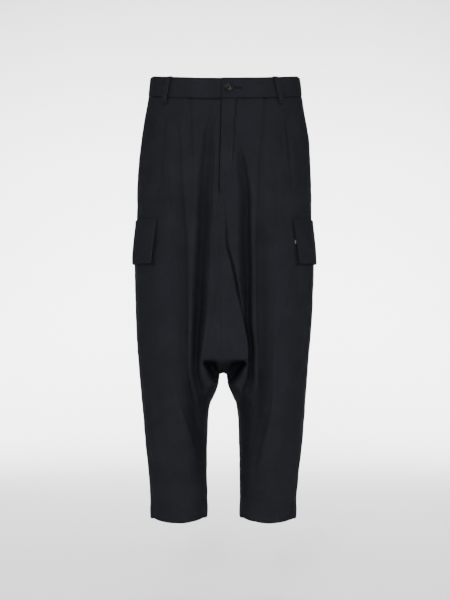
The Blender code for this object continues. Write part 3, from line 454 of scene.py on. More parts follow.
@dataclass
class Net:
    """A grid of points on a panel, which is read by place.

    Attributes:
        drops: The rows' levels.
        rounds: Each point's distance from the side seam, without its sign.
        points: The points.
        normals: The outward normals.
    """

    drops: Array
    rounds: Array
    points: Array
    normals: Array

    def at(self, round_: float, drop: float) -> Spot:
        """Reads the net.

        Args:
            round_: The distance from the side seam, without its sign.
            drop: The level.

        Returns:
            The point and the outward normal.
        """
        row = float(np.interp(drop, self.drops, np.arange(len(self.drops))))
        low = min(int(row), len(self.drops) - 2)
        share = row - low
        found = []
        for k in (low, low + 1):
            column = float(np.interp(round_, self.rounds[k], np.arange(self.rounds.shape[1])))
            c = min(int(column), self.rounds.shape[1] - 2)
            t = column - c
            grids = (self.points, self.normals)
            found.append([(1 - t) * grid[k, c] + t * grid[k, c + 1] for grid in grids])
        point, normal = ((1 - share) * found[0][i] + share * found[1][i] for i in (0, 1))
        return point, unit(normal)


@dataclass
class TrouserForm:
    """The trousers' outer face, which every piece is laid on.

    Attributes:
        waist_seam: Drop of the seam under the waistband, at the sides.
        crotch: Drop of the point where the four panels meet.
        hem: Drop of the hems.
        rise_slope: How fast the waist rises towards the back.
        rise_bow: How that slope eases.
        rise_fade: The height of cloth over which the slope fades.
        fly_width: How wide the fly's facing is.
        fly_end: Drop of its lower end.
        fly_lift: How far the left front lies over the right one there.
        fly_fade: The width over which that lift fades beside the facing, and its height at the end.
        samples: How many points a row is worked out at.
        net_step: The spacing of a net's rows.
        net_columns: How many columns a net has.
        rows: The rows that are worked out already.
        nets: The nets that are worked out already.
    """

    waist_seam: float = 0.018
    crotch: float = 0.599
    hem: float = 0.903
    rise_slope: float = 0.195
    rise_bow: float = 0.41
    rise_fade: float = 0.142
    fly_width: float = 0.034
    fly_end: float = 0.232
    fly_lift: float = 0.0018
    fly_fade: Pair = (0.010, 0.02)
    samples: int = 401
    net_step: float = 0.0025
    net_columns: int = 110
    rows: dict[tuple[Side, Face, float], tuple[Array, Array, Array]] = field(default_factory=dict, repr=False)
    nets: dict[tuple[Side, Face], Net] = field(default_factory=dict, repr=False)

    def rise(self, y: Array | float, drop: Array | float) -> Array:
        """How far cloth lies above its level, from the waist's slope."""
        fade = np.clip(1 - (drop - self.waist_seam) / self.rise_fade, 0.0, 1.0) ** 2
        return (self.rise_slope * y - self.rise_bow * y * y) * fade

    def inner_x(self, side: Side, face: Face, drop: float) -> float:
        """Where a panel's inner edge lies: the centre seam, or the inner leg below the crotch."""
        if drop <= self.crotch:
            return float(CENTRE.read(face.word, drop))
        return float(INSEAM.read(side.word, drop))

    def base_row(self, side: Side, face: Face, drop: float) -> tuple[Array, Array, Array]:
        """A row without its folds.

        Args:
            side: The half.
            face: Its face.
            drop: The level.

        Returns:
            x, y and the distance round, from the side seam to the inner edge.
        """
        key = (side, face, round(float(drop), 7))
        if key in self.rows:
            return self.rows[key]
        inner = self.inner_x(side, face, drop)
        width = float(SECTIONS.read(side.word, drop)) - side.value * inner
        away = width * (0.5 + 0.5 * np.cos(np.linspace(0, np.pi, self.samples)))
        turn = min(float(SECTIONS.read("turn", drop)), width)
        square = float(SECTIONS.read("square", drop))
        outer = np.clip((away - (width - turn)) / turn, 0.0, 1.0)
        depth = (1 - outer**square) ** (1 / square)
        if drop > SLING.columns["drop"][0]:
            depth = depth * self.sling_share(side, face, drop, away, inner)
        x = inner + side.value * away
        y = face.value * float(SECTIONS.read(face.word, drop)) * depth
        self.rows[key] = (x, y, running(np.hypot(np.diff(x), np.diff(y))))
        return self.rows[key]

    def sling_share(self, side: Side, face: Face, drop: float, away: Array, inner: float) -> Array:
        """The share of its depth that a row keeps, from the crotch's sling and its two hollows.

        Args:
            side: The half.
            face: Its face.
            drop: The level.
            away: The points' distances from the inner edge.
            inner: x of the inner edge.

        Returns:
            The shares.
        """
        hollow = {name: float(HOLLOW.read(name, drop)) for name in HOLLOW.columns}
        kept = float(SLING.read("share", drop)) if drop < self.crotch else 0.0
        centre = abs(inner - float(CENTRE.columns[face.word][-1])) if drop > self.crotch else 0.0
        reach = max(hollow[side.word] - centre, 0.0)
        beside = ease((away / max(reach, 1e-6) - 0.30) / 0.35) if reach > 0 else 0.0
        shelf = kept * (1 - hollow["depth"] * beside)
        under = np.hypot(shelf, hollow["open"] * quarter(away / hollow["edge"]))
        return under + (1 - under) * quarter((away - reach) / hollow["ramp"])

    def fly_height(self, x: Array | float, drop: Array | float) -> Array:
        """How far the left front lies over the right one at the fly."""
        wide, tall = self.fly_fade
        near = 1 - ease((x - CENTRE.read("front", drop) - self.fly_width) / wide)
        return self.fly_lift * near * (1 - ease((drop - self.fly_end + tall) / tall))

    def fold_depth(
        self, folds: dict[str, Chart], x: Array, drop: Array, shape: Callable[[Array], Array] = fold_shape
    ) -> Array:
        """How far a set of folds pushes the cloth in at these points.

        Args:
            folds: The folds.
            x: The points' x.
            drop: Their levels.
            shape: A fold's cross-section.

        Returns:
            The depths.
        """
        depth = np.zeros(np.broadcast(x, drop).shape)
        for line in folds.values():
            levels = line.columns["drop"]
            inside = (drop > levels[0]) & (drop < levels[-1])
            if not np.any(inside):
                continue
            away = x - line.read("x", drop)
            reach = np.where(away < 0, line.read("minus", drop), line.read("plus", drop))
            depth += np.where(inside, line.read("depth", drop) * shape(np.abs(away) / reach), 0)
        return depth

    def surface(self, side: Side, face: Face, drops: Array, rounds: Array) -> Array:
        """Points of one panel's outer surface, with its folds.

        Args:
            side: The half.
            face: Its face.
            drops: The levels, one for each row.
            rounds: The distances from the side seam, a row for each level, without their sign.

        Returns:
            The points, as rows by columns by 3.
        """
        x, y = np.empty(rounds.shape), np.empty(rounds.shape)
        for row, drop in enumerate(drops):
            x_base, y_base, length = self.base_row(side, face, float(drop))
            x[row] = np.interp(rounds[row], length, x_base)
            y[row] = np.interp(rounds[row], length, y_base)
        level = np.asarray(drops, float)[:, None]
        z = -level + self.rise(y, level)
        push = -self.fold_depth(FOLDS[face], x, -z)
        if (side, face) == (Side.LEFT, Face.FRONT):
            push = push + self.fly_height(x, -z)
        return np.stack((x, y + face.value * push, z), axis=-1)

    def length(self, side: Side, face: Face, drop: float) -> float:
        """The length of a panel's row."""
        return float(self.base_row(side, face, drop)[2][-1])

    def round_at_x(self, side: Side, face: Face, drop: float, x: float) -> float:
        """The distance from the side seam, without its sign, at which a row passes a given x."""
        x_base, _, length = self.base_row(side, face, drop)
        order = np.argsort(x_base)
        return float(np.interp(x, x_base[order], length[order]))

    def net(self, side: Side, face: Face) -> Net:
        """A panel's folded surface without its finer relief, sampled once.

        Args:
            side: The half.
            face: Its face.

        Returns:
            The net.
        """
        if (side, face) not in self.nets:
            drops = np.linspace(self.waist_seam, self.hem, int((self.hem - self.waist_seam) / self.net_step))
            lengths = [self.length(side, face, float(drop)) for drop in drops]
            rounds = np.array([np.linspace(0, length, self.net_columns) for length in lengths])
            points = self.surface(side, face, drops, rounds)
            normals = outward_normals(points, np.array((0.0, face.value, 0.0)))
            self.nets[side, face] = Net(drops, rounds, points, normals)
        return self.nets[side, face]

    def spot(self, side: Side, round_: float, drop: float) -> Spot:
        """The folded surface's point and normal at a signed distance from the side seam."""
        return self.net(side, Face.FRONT if round_ >= 0 else Face.BACK).at(abs(round_), drop)


# ------------------------------------------------------------------------------ finishes
@dataclass(frozen=True)
class Wiring:
    """A node tree that nodes are added to, with their inputs set or linked at once.

    Attributes:
        tree: The node tree.
    """

    tree: bpy.types.NodeTree

    def feed(self, node: bpy.types.Node, inputs: Inputs) -> None:
        """Links each input of a node to a socket, or sets it to a plain value.

        Args:
            node: The node.
            inputs: The sockets and values, by the inputs' names.
        """
        for name, value in inputs.items():
            if isinstance(value, Socket):
                self.tree.links.new(value, node.inputs[name])
            else:
                node.inputs[name].default_value = value

    def add(self, kind: str, inputs: Inputs | None = None, **choices: object) -> bpy.types.Node:
        """Adds a node.

        Args:
            kind: The node's type.
            inputs: What its inputs are linked to or set to.
            **choices: Its other settings.

        Returns:
            The node.
        """
        made = self.tree.nodes.new(kind)
        for name, value in choices.items():
            setattr(made, name, value)
        self.feed(made, inputs or {})
        return made

    def calculate(self, operation: str, *values: Value) -> Socket:
        """Adds a Math node, and returns its result."""
        return self.add("ShaderNodeMath", dict(enumerate(values)), operation=operation).outputs[0]

    def noise(self, vector: Socket, scale: Value, detail: float = 2.0, rough: float = 0.5) -> Socket:
        """Adds a Noise Texture, and returns its value."""
        inputs = {"Vector": vector, "Scale": scale, "Detail": detail, "Roughness": rough}
        return self.add("ShaderNodeTexNoise", inputs).outputs["Fac"]

    def spread(self, value: Socket, low: Value, high: Value) -> Socket:
        """Adds a Map Range node that spreads 0 to 1 over a range, and returns its result."""
        inputs = {"Value": value, "To Min": low, "To Max": high}
        return self.add("ShaderNodeMapRange", inputs).outputs["Result"]

    def mix(self, share: Value, first: Value, second: Value, how: str = "MIX") -> Socket:
        """Mixes two colours, and returns the result."""
        a, b = (c if isinstance(c, Socket) else (*c, 1.0) for c in (first, second))
        inputs = {"Factor": share, "A": a, "B": b}
        return self.add("ShaderNodeMix", inputs, data_type="RGBA", blend_type=how).outputs["Result"]

    def bump(self, height: Socket, distance: float, strength: float = 1.0, **under: Socket) -> Socket:
        """Adds a Bump node, over the Normal that it may be given, and returns its normal."""
        inputs = {"Height": height, "Distance": distance, "Strength": strength, **under}
        return self.add("ShaderNodeBump", inputs).outputs["Normal"]

    def place(self) -> Socket:
        """Adds the object's own coordinates, and returns them."""
        return self.add("ShaderNodeTexCoord").outputs["Object"]

    def painted(self, name: str) -> Socket:
        """Adds a value that is painted on the mesh, and returns it."""
        return self.add("ShaderNodeAttribute", attribute_name=name).outputs["Fac"]

    def weave(self, pitch: float) -> bpy.types.Node:
        """Adds the shared twill weave with a given distance from rib to rib, and returns it."""
        cloth = self.add("ShaderNodeUVMap", uv_map="cloth").outputs["UV"]
        inputs = {"Cloth": cloth, "Rib scale": 2 * math.pi / (20 * pitch)}
        return self.add("ShaderNodeGroup", inputs, node_tree=twill_group())


def node_group(
    name: str, inputs: dict[str, float | None], outputs: Sequence[str]
) -> tuple[bpy.types.NodeTree, bpy.types.Node | None, bpy.types.Node | None]:
    """Starts a shader node group with named sockets, or finds it if it is there.

    Args:
        name: The group's name.
        inputs: Each input's name with its value, or with None for a vector.
        outputs: The outputs' names.

    Returns:
        The group, its input node and its output node, or the group and None, None if it was there.
    """
    if name in bpy.data.node_groups:
        return bpy.data.node_groups[name], None, None
    group = bpy.data.node_groups.new(name, "ShaderNodeTree")
    for label, value in inputs.items():
        kind = "NodeSocketVector" if value is None else "NodeSocketFloat"
        made = group.interface.new_socket(label, in_out="INPUT", socket_type=kind)
        if value is not None:
            made.default_value = value
    for label in outputs:
        group.interface.new_socket(label, in_out="OUTPUT", socket_type="NodeSocketFloat")
    return group, group.nodes.new("NodeGroupInput"), group.nodes.new("NodeGroupOutput")


def twill_group() -> bpy.types.NodeTree:
    """The shared twill weave: diagonal ribs broken by the warp, with uneven yarns.

    Returns:
        The group, which gives the weave's height and its yarns' tone.
    """
    inputs = {"Cloth": None, "Rib scale": 300.0, "Slub": 0.4}
    group, start, end = node_group("twill_weave", inputs, ("Height", "Yarn"))
    if start is None:
        return group
    wiring, given = Wiring(group), start.outputs
    slant = {"Vector": given["Cloth"], "Rotation": (0.0, 0.0, math.radians(63))}
    turned = wiring.add("ShaderNodeMapping", slant).outputs["Vector"]
    wave = {"Vector": turned, "Scale": given["Rib scale"], "Distortion": 0.8, "Detail": 1.0}
    ribs = wiring.add("ShaderNodeTexWave", wave).outputs["Fac"]
    along = {"Vector": given["Cloth"], "Scale": (900.0, 140.0, 1.0)}
    yarn = wiring.noise(wiring.add("ShaderNodeMapping", along).outputs["Vector"], 1.0)
    uneven = wiring.calculate("MULTIPLY", yarn, given["Slub"])
    wiring.feed(end, {"Height": wiring.calculate("ADD", ribs, uneven), "Yarn": yarn})
    return group


def wear_and_shade_group() -> bpy.types.NodeTree:
    """The shared fading: soft blotches, ridges paled by wear and painted highlight, and painted shade in
    folds.

    Returns:
        The group, which gives the fading and painted highlight, the finest wrinkles and the painted shade.
    """
    inputs = {"Place": None, "Ridge": 0.0, "Blotch scale": 22.0, "Blotch": 0.5}
    inputs |= {"Ridge wear and highlight": 0.5, "Recess": 0.0, "Kept": 0.5}
    group, start, end = node_group("cloth_wear", inputs, ("Fade", "Wrinkle", "Shade"))
    if start is None:
        return group
    wiring, given = Wiring(group), start.outputs
    blotch = wiring.noise(given["Place"], given["Blotch scale"], 3.0)
    clear = wiring.add("ShaderNodeMapRange", {"Value": blotch, "From Min": 0.35, "From Max": 0.68})
    soft = wiring.calculate("MULTIPLY", clear.outputs["Result"], given["Blotch"])
    # Ridges paled: wear, and also painted highlight.
    ridge = wiring.calculate("MULTIPLY", given["Ridge"], given["Ridge wear and highlight"])
    flat = wiring.add("ShaderNodeMapping", {"Vector": given["Place"], "Scale": (1.0, 1.0, 0.45)})
    # Painted shade: the colour falls from its full share to the Kept share as the painted shade grows.
    shade = {"Value": given["Recess"], "To Min": 1.0, "To Max": given["Kept"]}
    kept = wiring.add("ShaderNodeMapRange", shade, interpolation_type="SMOOTHSTEP")
    results = {
        "Fade": wiring.calculate("ADD", soft, ridge),
        "Wrinkle": wiring.noise(flat.outputs["Vector"], 75.0, 3.0, 0.55),
        "Shade": kept.outputs["Result"],
    }
    wiring.feed(end, results)
    return group


def new_material(name: str) -> tuple[bpy.types.Material, Wiring, bpy.types.Node]:
    """Starts a material, and returns it with its wiring and its shader."""
    made = bpy.data.materials.new(name)
    made.use_nodes = True
    return made, Wiring(made.node_tree), made.node_tree.nodes["Principled BSDF"]


@dataclass(frozen=True)
class ClothFinish:
    """Black cotton twill, softened and faded a little by wear, with painted shade and painted highlight.

    Attributes:
        deep: The colour of cloth that has kept its dye.
        faded: The colour of cloth faded by wear, also used as the painted highlight on ridges and edges.
        shaded: The share of its colour that it keeps under the fullest painted shade, at the bottom of a
            fold.
        rib_pitch: The distance from rib to rib.
        rib_bump: The weave's relief, and its strength.
        wrinkle_bump: The relief of the finest wrinkles, and its strength.
        roughness: The lowest and highest roughness.
        blotch: How strongly the fading varies.
        heather: How strongly the yarns' tone varies.
        ridge_wear: How pale ridges and edges are, as wear and as painted highlight.
        shine: The strength of its highlights.
    """

    deep: Colour = (0.0074, 0.0079, 0.0098)
    faded: Colour = (0.0134, 0.0141, 0.0168)
    shaded: float = 0.63
    rib_pitch: float = 0.0009
    rib_bump: Pair = (0.00016, 0.7)
    wrinkle_bump: Pair = (0.0011, 0.6)
    roughness: Pair = (0.70, 0.84)
    blotch: float = 0.22
    heather: float = 0.30
    ridge_wear: float = 0.09
    shine: float = 0.012

    def material(self, name: str) -> bpy.types.Material:
        """Makes the material of one piece.

        Args:
            name: The piece's name.

        Returns:
            The material.
        """
        made, wiring, shader = new_material(f"{name}_twill")
        weave = wiring.weave(self.rib_pitch)
        inputs = {"Place": wiring.place(), "Blotch": self.blotch, "Ridge wear and highlight": self.ridge_wear}
        inputs |= {"Ridge": wiring.painted("ridge"), "Recess": wiring.painted("recess"), "Kept": self.shaded}
        # The shared group: fading, ridges paled by wear and painted highlight, and painted shade.
        wear = wiring.add("ShaderNodeGroup", inputs, node_tree=wear_and_shade_group()).outputs
        heather = wiring.calculate("MULTIPLY", weave.outputs["Yarn"], self.heather)
        amount = wiring.calculate("ADD", wear["Fade"], heather)
        dyed_with_highlight = wiring.mix(amount, self.deep, self.faded)
        wrinkle = wiring.bump(wear["Wrinkle"], *self.wrinkle_bump)
        # The colour is darkened by the painted shade.
        looks = {
            "Base Color": wiring.mix(1.0, dyed_with_highlight, wear["Shade"], "MULTIPLY"),
            "Roughness": wiring.spread(amount, self.roughness[1], self.roughness[0]),
            "Normal": wiring.bump(weave.outputs["Height"], *self.rib_bump, Normal=wrinkle),
            "Specular IOR Level": self.shine,
        }
        wiring.feed(shader, looks)
        return made


@dataclass(frozen=True)
class ThreadFinish:
    """Black sewing thread, with a slight shine and a twist.

    Attributes:
        colour: The thread's colour.
        tones: The shares of that colour between its plies, as painted shade, and on them, as painted
            highlight.
        roughness: How matt it is.
        twist: Turns of its ply in each metre.
        relief: The plies' relief, and its strength.
        shine: The strength of its highlights.
    """

    colour: Colour = (0.0055, 0.0059, 0.0075)
    tones: Pair = (0.7, 1.5)
    roughness: float = 0.62
    twist: float = 1400.0
    relief: Pair = (0.0001, 0.5)
    shine: float = 0.02

    def material(self, name: str) -> bpy.types.Material:
        """Makes the material of one run of thread.

        Args:
            name: The run's name.

        Returns:
            The material.
        """
        made, wiring, shader = new_material(f"{name}_thread")
        ply = wiring.noise(wiring.place(), self.twist, 1.0)
        # Darker between the plies and paler on them: painted shade and painted highlight.
        dark, pale = ([tone * c for c in self.colour] for tone in self.tones)
        looks = {"Base Color": wiring.mix(ply, dark, pale), "Normal": wiring.bump(ply, *self.relief)}
        wiring.feed(shader, looks | {"Roughness": self.roughness, "Specular IOR Level": self.shine})
        return made


@dataclass(frozen=True)
class ButtonFinish:
    """Black polyester, polished and a little scuffed.

    Attributes:
        colour: The button's colour.
        swirl: The paler colour of its faint marbling.
        roughness: The lowest and highest roughness.
        shine: The strength of its highlights.
    """

    colour: Colour = (0.0016, 0.0016, 0.0019)
    swirl: Colour = (0.0046, 0.0044, 0.0048)
    roughness: Pair = (0.12, 0.26)
    shine: float = 0.09

    def material(self, name: str) -> bpy.types.Material:
        """Makes the button's material.

        Args:
            name: The piece's name.

        Returns:
            The material.
        """
        made, wiring, shader = new_material(f"{name}_polyester")
        place = wiring.place()
        marble = wiring.noise(place, 260.0, 4.0, 0.6)
        scuff = wiring.noise(place, 900.0, 3.0)
        looks = {
            "Base Color": wiring.mix(marble, self.colour, self.swirl),
            "Roughness": wiring.spread(scuff, *self.roughness),
            "IOR": 1.5,
            "Specular IOR Level": self.shine,
        }
        wiring.feed(shader, looks)
        return made


@dataclass(frozen=True)
class TabFinish:
    """The small pale tab's plain ribbon.

    Attributes:
        colour: The ribbon's colour.
        shade: The colour between its ribs, a painted shade.
        rib_pitch: The distance from rib to rib.
        rib_bump: The weave's relief.
        roughness: How matt it is.
    """

    colour: Colour = (0.110, 0.110, 0.112)
    shade: Colour = (0.055, 0.055, 0.057)
    rib_pitch: float = 0.0006
    rib_bump: float = 0.00015
    roughness: float = 0.7

    def material(self, name: str) -> bpy.types.Material:
        """Makes the tab's material.

        Args:
            name: The piece's name.

        Returns:
            The material.
        """
        made, wiring, shader = new_material(f"{name}_ribbon")
        height = wiring.weave(self.rib_pitch).outputs["Height"]
        # Darker between the ribs: painted shade.
        looks = {
            "Base Color": wiring.mix(height, self.shade, self.colour),
            "Normal": wiring.bump(height, self.rib_bump),
            "Roughness": self.roughness,
        }
        wiring.feed(shader, looks)
        return made


# ------------------------------------------------------------------------------ meshes
def place_object(name: str, data: bpy.types.ID) -> Piece:
    """Puts an object with this data in the scene, and returns it."""
    made = bpy.data.objects.new(name, data)
    bpy.context.scene.collection.objects.link(made)
    return made


def mesh_object(
    name: str, points: Array, faces: Array | list[tuple[int, ...]], material: bpy.types.Material
) -> Piece:
    """Makes an object from points and faces, shaded smooth.

    Args:
        name: Its name.
        points: Its points.
        faces: Its faces.
        material: Its material.

    Returns:
        The object, which rides on the part's body.
    """
    data = bpy.data.meshes.new(name)
    data.from_pydata(points.tolist(), [], faces.tolist() if isinstance(faces, Array) else faces)
    data.update()
    data.shade_smooth()
    data.materials.append(material)
    made = place_object(name, data)
    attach(made, BODY)
    return made


def stand_for(made: Piece, node: str, **cut: object) -> None:
    """Hides the solid of the node that a piece stands for.

    Args:
        made: The piece; not used.
        node: The node.
        **cut: The sheet's flat size, how it is held, what it rests on and perhaps its area; not used.
    """
    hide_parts(node)


def grid_faces(index: Array, flip: bool = False) -> Array:
    """The faces of a grid of points.

    Args:
        index: The points' indices, as rows by columns.
        flip: Whether the faces look the other way.

    Returns:
        The faces, each as four indices.
    """
    quads = (index[:-1, :-1], index[1:, :-1], index[1:, 1:], index[:-1, 1:])
    faces = np.stack([q.ravel() for q in quads], axis=1)
    return faces[:, ::-1] if flip else faces


def looks_in(points: Array, normals: Array, corner: int) -> bool:
    """Whether a grid's faces look against its normals, as judged at one of its corners."""
    here = points[corner, corner]
    facing = np.cross(points[corner, corner + 1] - here, points[corner + 1, corner] - here)
    return bool(np.sum(facing * normals[corner, corner]) > 0)


def paint_cloth(made: Piece, cloth: Array, ridge: Array, recess: Array) -> None:
    """Gives a mesh its place on the cloth as a UV map, the paling of its ridges and its painted shade.

    Args:
        made: The object.
        cloth: Each point's distances across and down the cloth, in metres.
        ridge: Each point's wear and painted highlight, from 0 to 1.
        recess: How deep each point lies in a fold or a seam, from 0 to 1, as the strength of its painted
            shade.
    """
    data = made.data
    corner_points = np.empty(len(data.loops), int)
    data.loops.foreach_get("vertex_index", corner_points)
    uv = data.uv_layers.new(name="cloth")
    uv.data.foreach_set("uv", cloth[corner_points].ravel())
    # The ridge paling is wear and also painted highlight; the second value is painted shade.
    for name, values in (("ridge", ridge), ("recess", recess)):
        layer = data.attributes.new(name, "FLOAT", "POINT")
        layer.data.foreach_set("value", np.clip(values, 0, 1).astype(np.float32))


def convexity(points: Array, normals: Array) -> Array:
    """How sharply each point of a grid stands out from those beside it.

    Args:
        points: The grid, as rows by columns by 3.
        normals: Its normals.

    Returns:
        The sharpness, from 0 to 1.
    """
    bend = np.zeros(points.shape[:2])
    across = points[:, :-2] + points[:, 2:] - 2 * points[:, 1:-1]
    gap = np.linalg.norm(points[:, 2:] - points[:, :-2], axis=-1) / 2
    bend[:, 1:-1] = -np.sum(across * normals[:, 1:-1], axis=-1) / np.maximum(gap, 5e-4) ** 2
    soft = bend.copy()
    soft[:, 1:-1] = (bend[:, :-2] + 2 * bend[:, 1:-1] + bend[:, 2:]) / 4
    return np.clip((soft - 15) / 120, 0, 1)


def padded_sheet(
    name: str,
    base: Array,
    normals: Array,
    thickness: float,
    edge: Array,
    roll: float,
    cloth: Array,
    material: bpy.types.Material,
    recess: Array | None = None,
) -> Piece:
    """A thick piece of sewn cloth whose edges are rolled round.

    Args:
        name: The piece's name.
        base: Its underside, as rows by columns by 3.
        normals: Which way its face looks.
        thickness: Its thickness.
        edge: Each point's distance from the nearest edge.
        roll: The width of the rounded edge.
        cloth: Each point's distances across and down the cloth.
        material: Its material.
        recess: How strong the painted shade is at each point, from 0 to 1, or None for 0.

    Returns:
        The object.
    """
    rows, columns = edge.shape
    recess = np.zeros(edge.shape) if recess is None else recess
    fullness = quarter(edge / roll)[..., None]
    outer = base + normals * thickness * (0.5 + 0.5 * fullness)
    inner = base + normals * thickness * (0.5 - 0.5 * fullness)
    index = np.arange(rows * columns).reshape(rows, columns)
    behind = index.copy()
    behind[1:-1, 1:-1] = rows * columns + np.arange((rows - 2) * (columns - 2)).reshape(rows - 2, columns - 2)
    faces = np.concatenate((grid_faces(index), grid_faces(behind, flip=True)))
    if looks_in(outer, normals, 0):
        faces = faces[:, ::-1]
    points = np.concatenate((outer.reshape(-1, 3), inner[1:-1, 1:-1].reshape(-1, 3)))
    made = mesh_object(name, points, faces, material)
    places = np.concatenate((cloth.reshape(-1, 2), cloth[1:-1, 1:-1].reshape(-1, 2)))
    # Rolled edges are paler: wear, and also painted highlight.
    edge_wear_and_highlight = np.clip(1 - edge / (2.2 * roll), 0, 1)
    both = [np.concatenate((grid.ravel(), grid[1:-1, 1:-1].ravel())) for grid in (edge_wear_and_highlight, recess)]
    paint_cloth(made, places, *both)
    return made


# ------------------------------------------------------------------------------ panels
@dataclass
class Panel:
    """One of the four panels, from the waistband to the hem.

    Attributes:
        form: The form that it lies on.
        side: Its half.
        face: Its face.
        finish: Its cloth.
        flat: The width and length of the cut.
        area: The cut's area.
        seed: Which set of small ripples it has.
        ply: The cloth's thickness.
        step: The grid's usual spacing, and its spacing over the sling's fold and at the hem.
        edge: How far from its side edges the outer columns lie.
        lap: How far it runs up behind the waistband.
        hem_zone: The height over which the rows crowd at the hem.
        sling: The drops between which the crotch's sling bends, where the rows crowd.
        counts: The columns up to the valley's rim, from there to the hollow's foot, and past it.
        tuck: How far a seam pulls the cloth in.
        fly_tuck: How far the right front's edge lies under the left one at the fly.
        tuck_width: How far from the seam that reaches.
        under_band: How far the right front goes in with the band's lower half, the reach of
            that from the front line, and the length over which it fades.
        full_recess: The depth of a fold whose bottom gets the fullest painted shade.
        band_tuck: How far the waistband's seam pulls it in, and the half width of that.
        pucker: Depth, usual length and reach of the puckers along the other seams.
        gather: Depth, usual length and reach of the gathers under the waistband.
        seam_shade: The shade at the waistband's seam, and its half width.
        flap_shadow: Drop and half width of the painted shadow under a flap, and how far out it starts.
        hem_relief: Height over the hem, half width and depth of its turned edge and its stitching.
        hem_rise: How far the hem rides up at the side seam and at the inner leg.
        hem_bow: How far it rides up beside them, where the leg turns.
        hem_fade: The width and the height over which that fades.
        net: The finished cloth.
    """

    form: TrouserForm
    side: Side
    face: Face
    finish: ClothFinish
    flat: Pair
    area: float
    seed: int
    ply: float = 0.0012
    step: Pair = (0.0027, 0.0013)
    edge: Triple = (0.0, 0.0009, 0.0020)
    lap: float = 0.0009
    hem_zone: float = 0.004
    sling: Pair = (0.560, 0.616)
    counts: tuple[int, int, int] = (66, 12, 18)
    tuck: float = 0.0007
    fly_tuck: float = 0.0022
    tuck_width: float = 0.0021
    under_band: Triple = (0.0018, 0.045, 0.030)
    full_recess: float = 0.023
    band_tuck: Pair = (0.0006, 0.003)
    pucker: Triple = (0.00030, 0.020, 0.010)
    gather: Triple = (0.0006, 0.030, 0.022)
    seam_shade: Pair = (0.8, 0.0024)
    flap_shadow: Triple = (0.3745, 0.0032, 0.138)
    hem_relief: tuple[Triple, ...] = (
        (0.0, 0.0018, 0.0006),
        (0.014, 0.010, -0.0004),
        (0.028, 0.0025, 0.00035),
    )
    hem_rise: Pair = (0.0015, 0.0048)
    hem_bow: float = 0.0044
    hem_fade: Pair = (0.05, 0.09)
    net: Net = field(init=False, repr=False)

    @property
    def name(self) -> str:
        """The name of the node that it stands for."""
        return f"{self.face.word}_{self.side.word}"

    def levels(self) -> Array:
        """The grid's rows, which crowd at the sling's fold and at the hem.

        Returns:
            The rows' drops.
        """
        form, (usual, close) = self.form, self.step
        at_crotch, under_crotch = 0.0003, 0.0016
        spans = (
            (form.waist_seam - self.lap, self.sling[0], usual),
            (self.sling[0], form.crotch - at_crotch, close),
            (form.crotch - at_crotch, form.crotch + at_crotch, at_crotch),
            (form.crotch + at_crotch, self.sling[1], under_crotch),
            (self.sling[1], form.hem - self.hem_zone, usual),
            (form.hem - self.hem_zone, form.hem, close),
        )
        levels = [spans[0][0]]
        for start, end, step in spans:
            levels.extend(np.linspace(start, end, max(int(round((end - start) / step)), 1) + 1)[1:])
        return np.array(levels)

    def columns(self, drop: float) -> Array:
        """The grid's columns on one row.

        Args:
            drop: The row's level.

        Returns:
            Their distances round, from the side seam to the inner edge.
        """
        form, lines = self.form, GUIDES[self.face, self.side]
        length = form.length(self.side, self.face, drop)
        lip, drape = (
            form.round_at_x(self.side, self.face, drop, float(lines.read(name, drop)))
            for name in ("lip", "drape")
        )
        edge = self.edge
        spans = ((edge[-1], lip), (lip, drape), (drape, length - edge[-1]))
        inner = [np.linspace(*span, count + 1)[1:] for span, count in zip(spans, self.counts)]
        return np.concatenate((edge, *inner, (length - edge[1], length)))

    def ripples(self, drop: Array, rounds: Array) -> Array:
        """How far the cloth's own small unevenness pushes it in.

        Args:
            drop: The points' levels.
            rounds: Their distances from the side seam.

        Returns:
            The depths.
        """
        sling = ease((drop - 0.55) / 0.02) * (1 - ease((drop - 0.64) / 0.04))
        calm = ease((drop - 0.03) / 0.08) * (1 - 0.7 * sling)
        knee = ease((drop - 0.62) / 0.10) * (1 - 0.6 * ease((drop - 0.86) / 0.04))
        reliefs = (
            (0.00075 * calm, 1.9, 0.42, 0.062),
            (0.00030 * calm, 1.4, 0.7, 0.021),
            (0.00070 * knee, 0.7, 1.3, 0.060),
        )
        return sum(
            deep * ripple(rounds * across, drop * down, size, self.seed + k)
            for k, (deep, across, down, size) in enumerate(reliefs)
        )

    def creases(self, x: Array, drop: Array) -> Array:
        """How far the fine creases push the cloth in at these points.

        Args:
            x: The points' x.
            drop: Their levels.

        Returns:
            The depths.
        """
        depth = self.form.fold_depth(CREASES[self.face], x, drop, soft_shape)
        for middle, level, half, height, deep, slope in LEVEL_CREASES[self.face]:
            along = np.abs(x - middle) / half
            away = np.abs(drop - level - slope * (x - middle)) / height
            depth += deep * soft_shape(along) * soft_shape(away)
        return depth

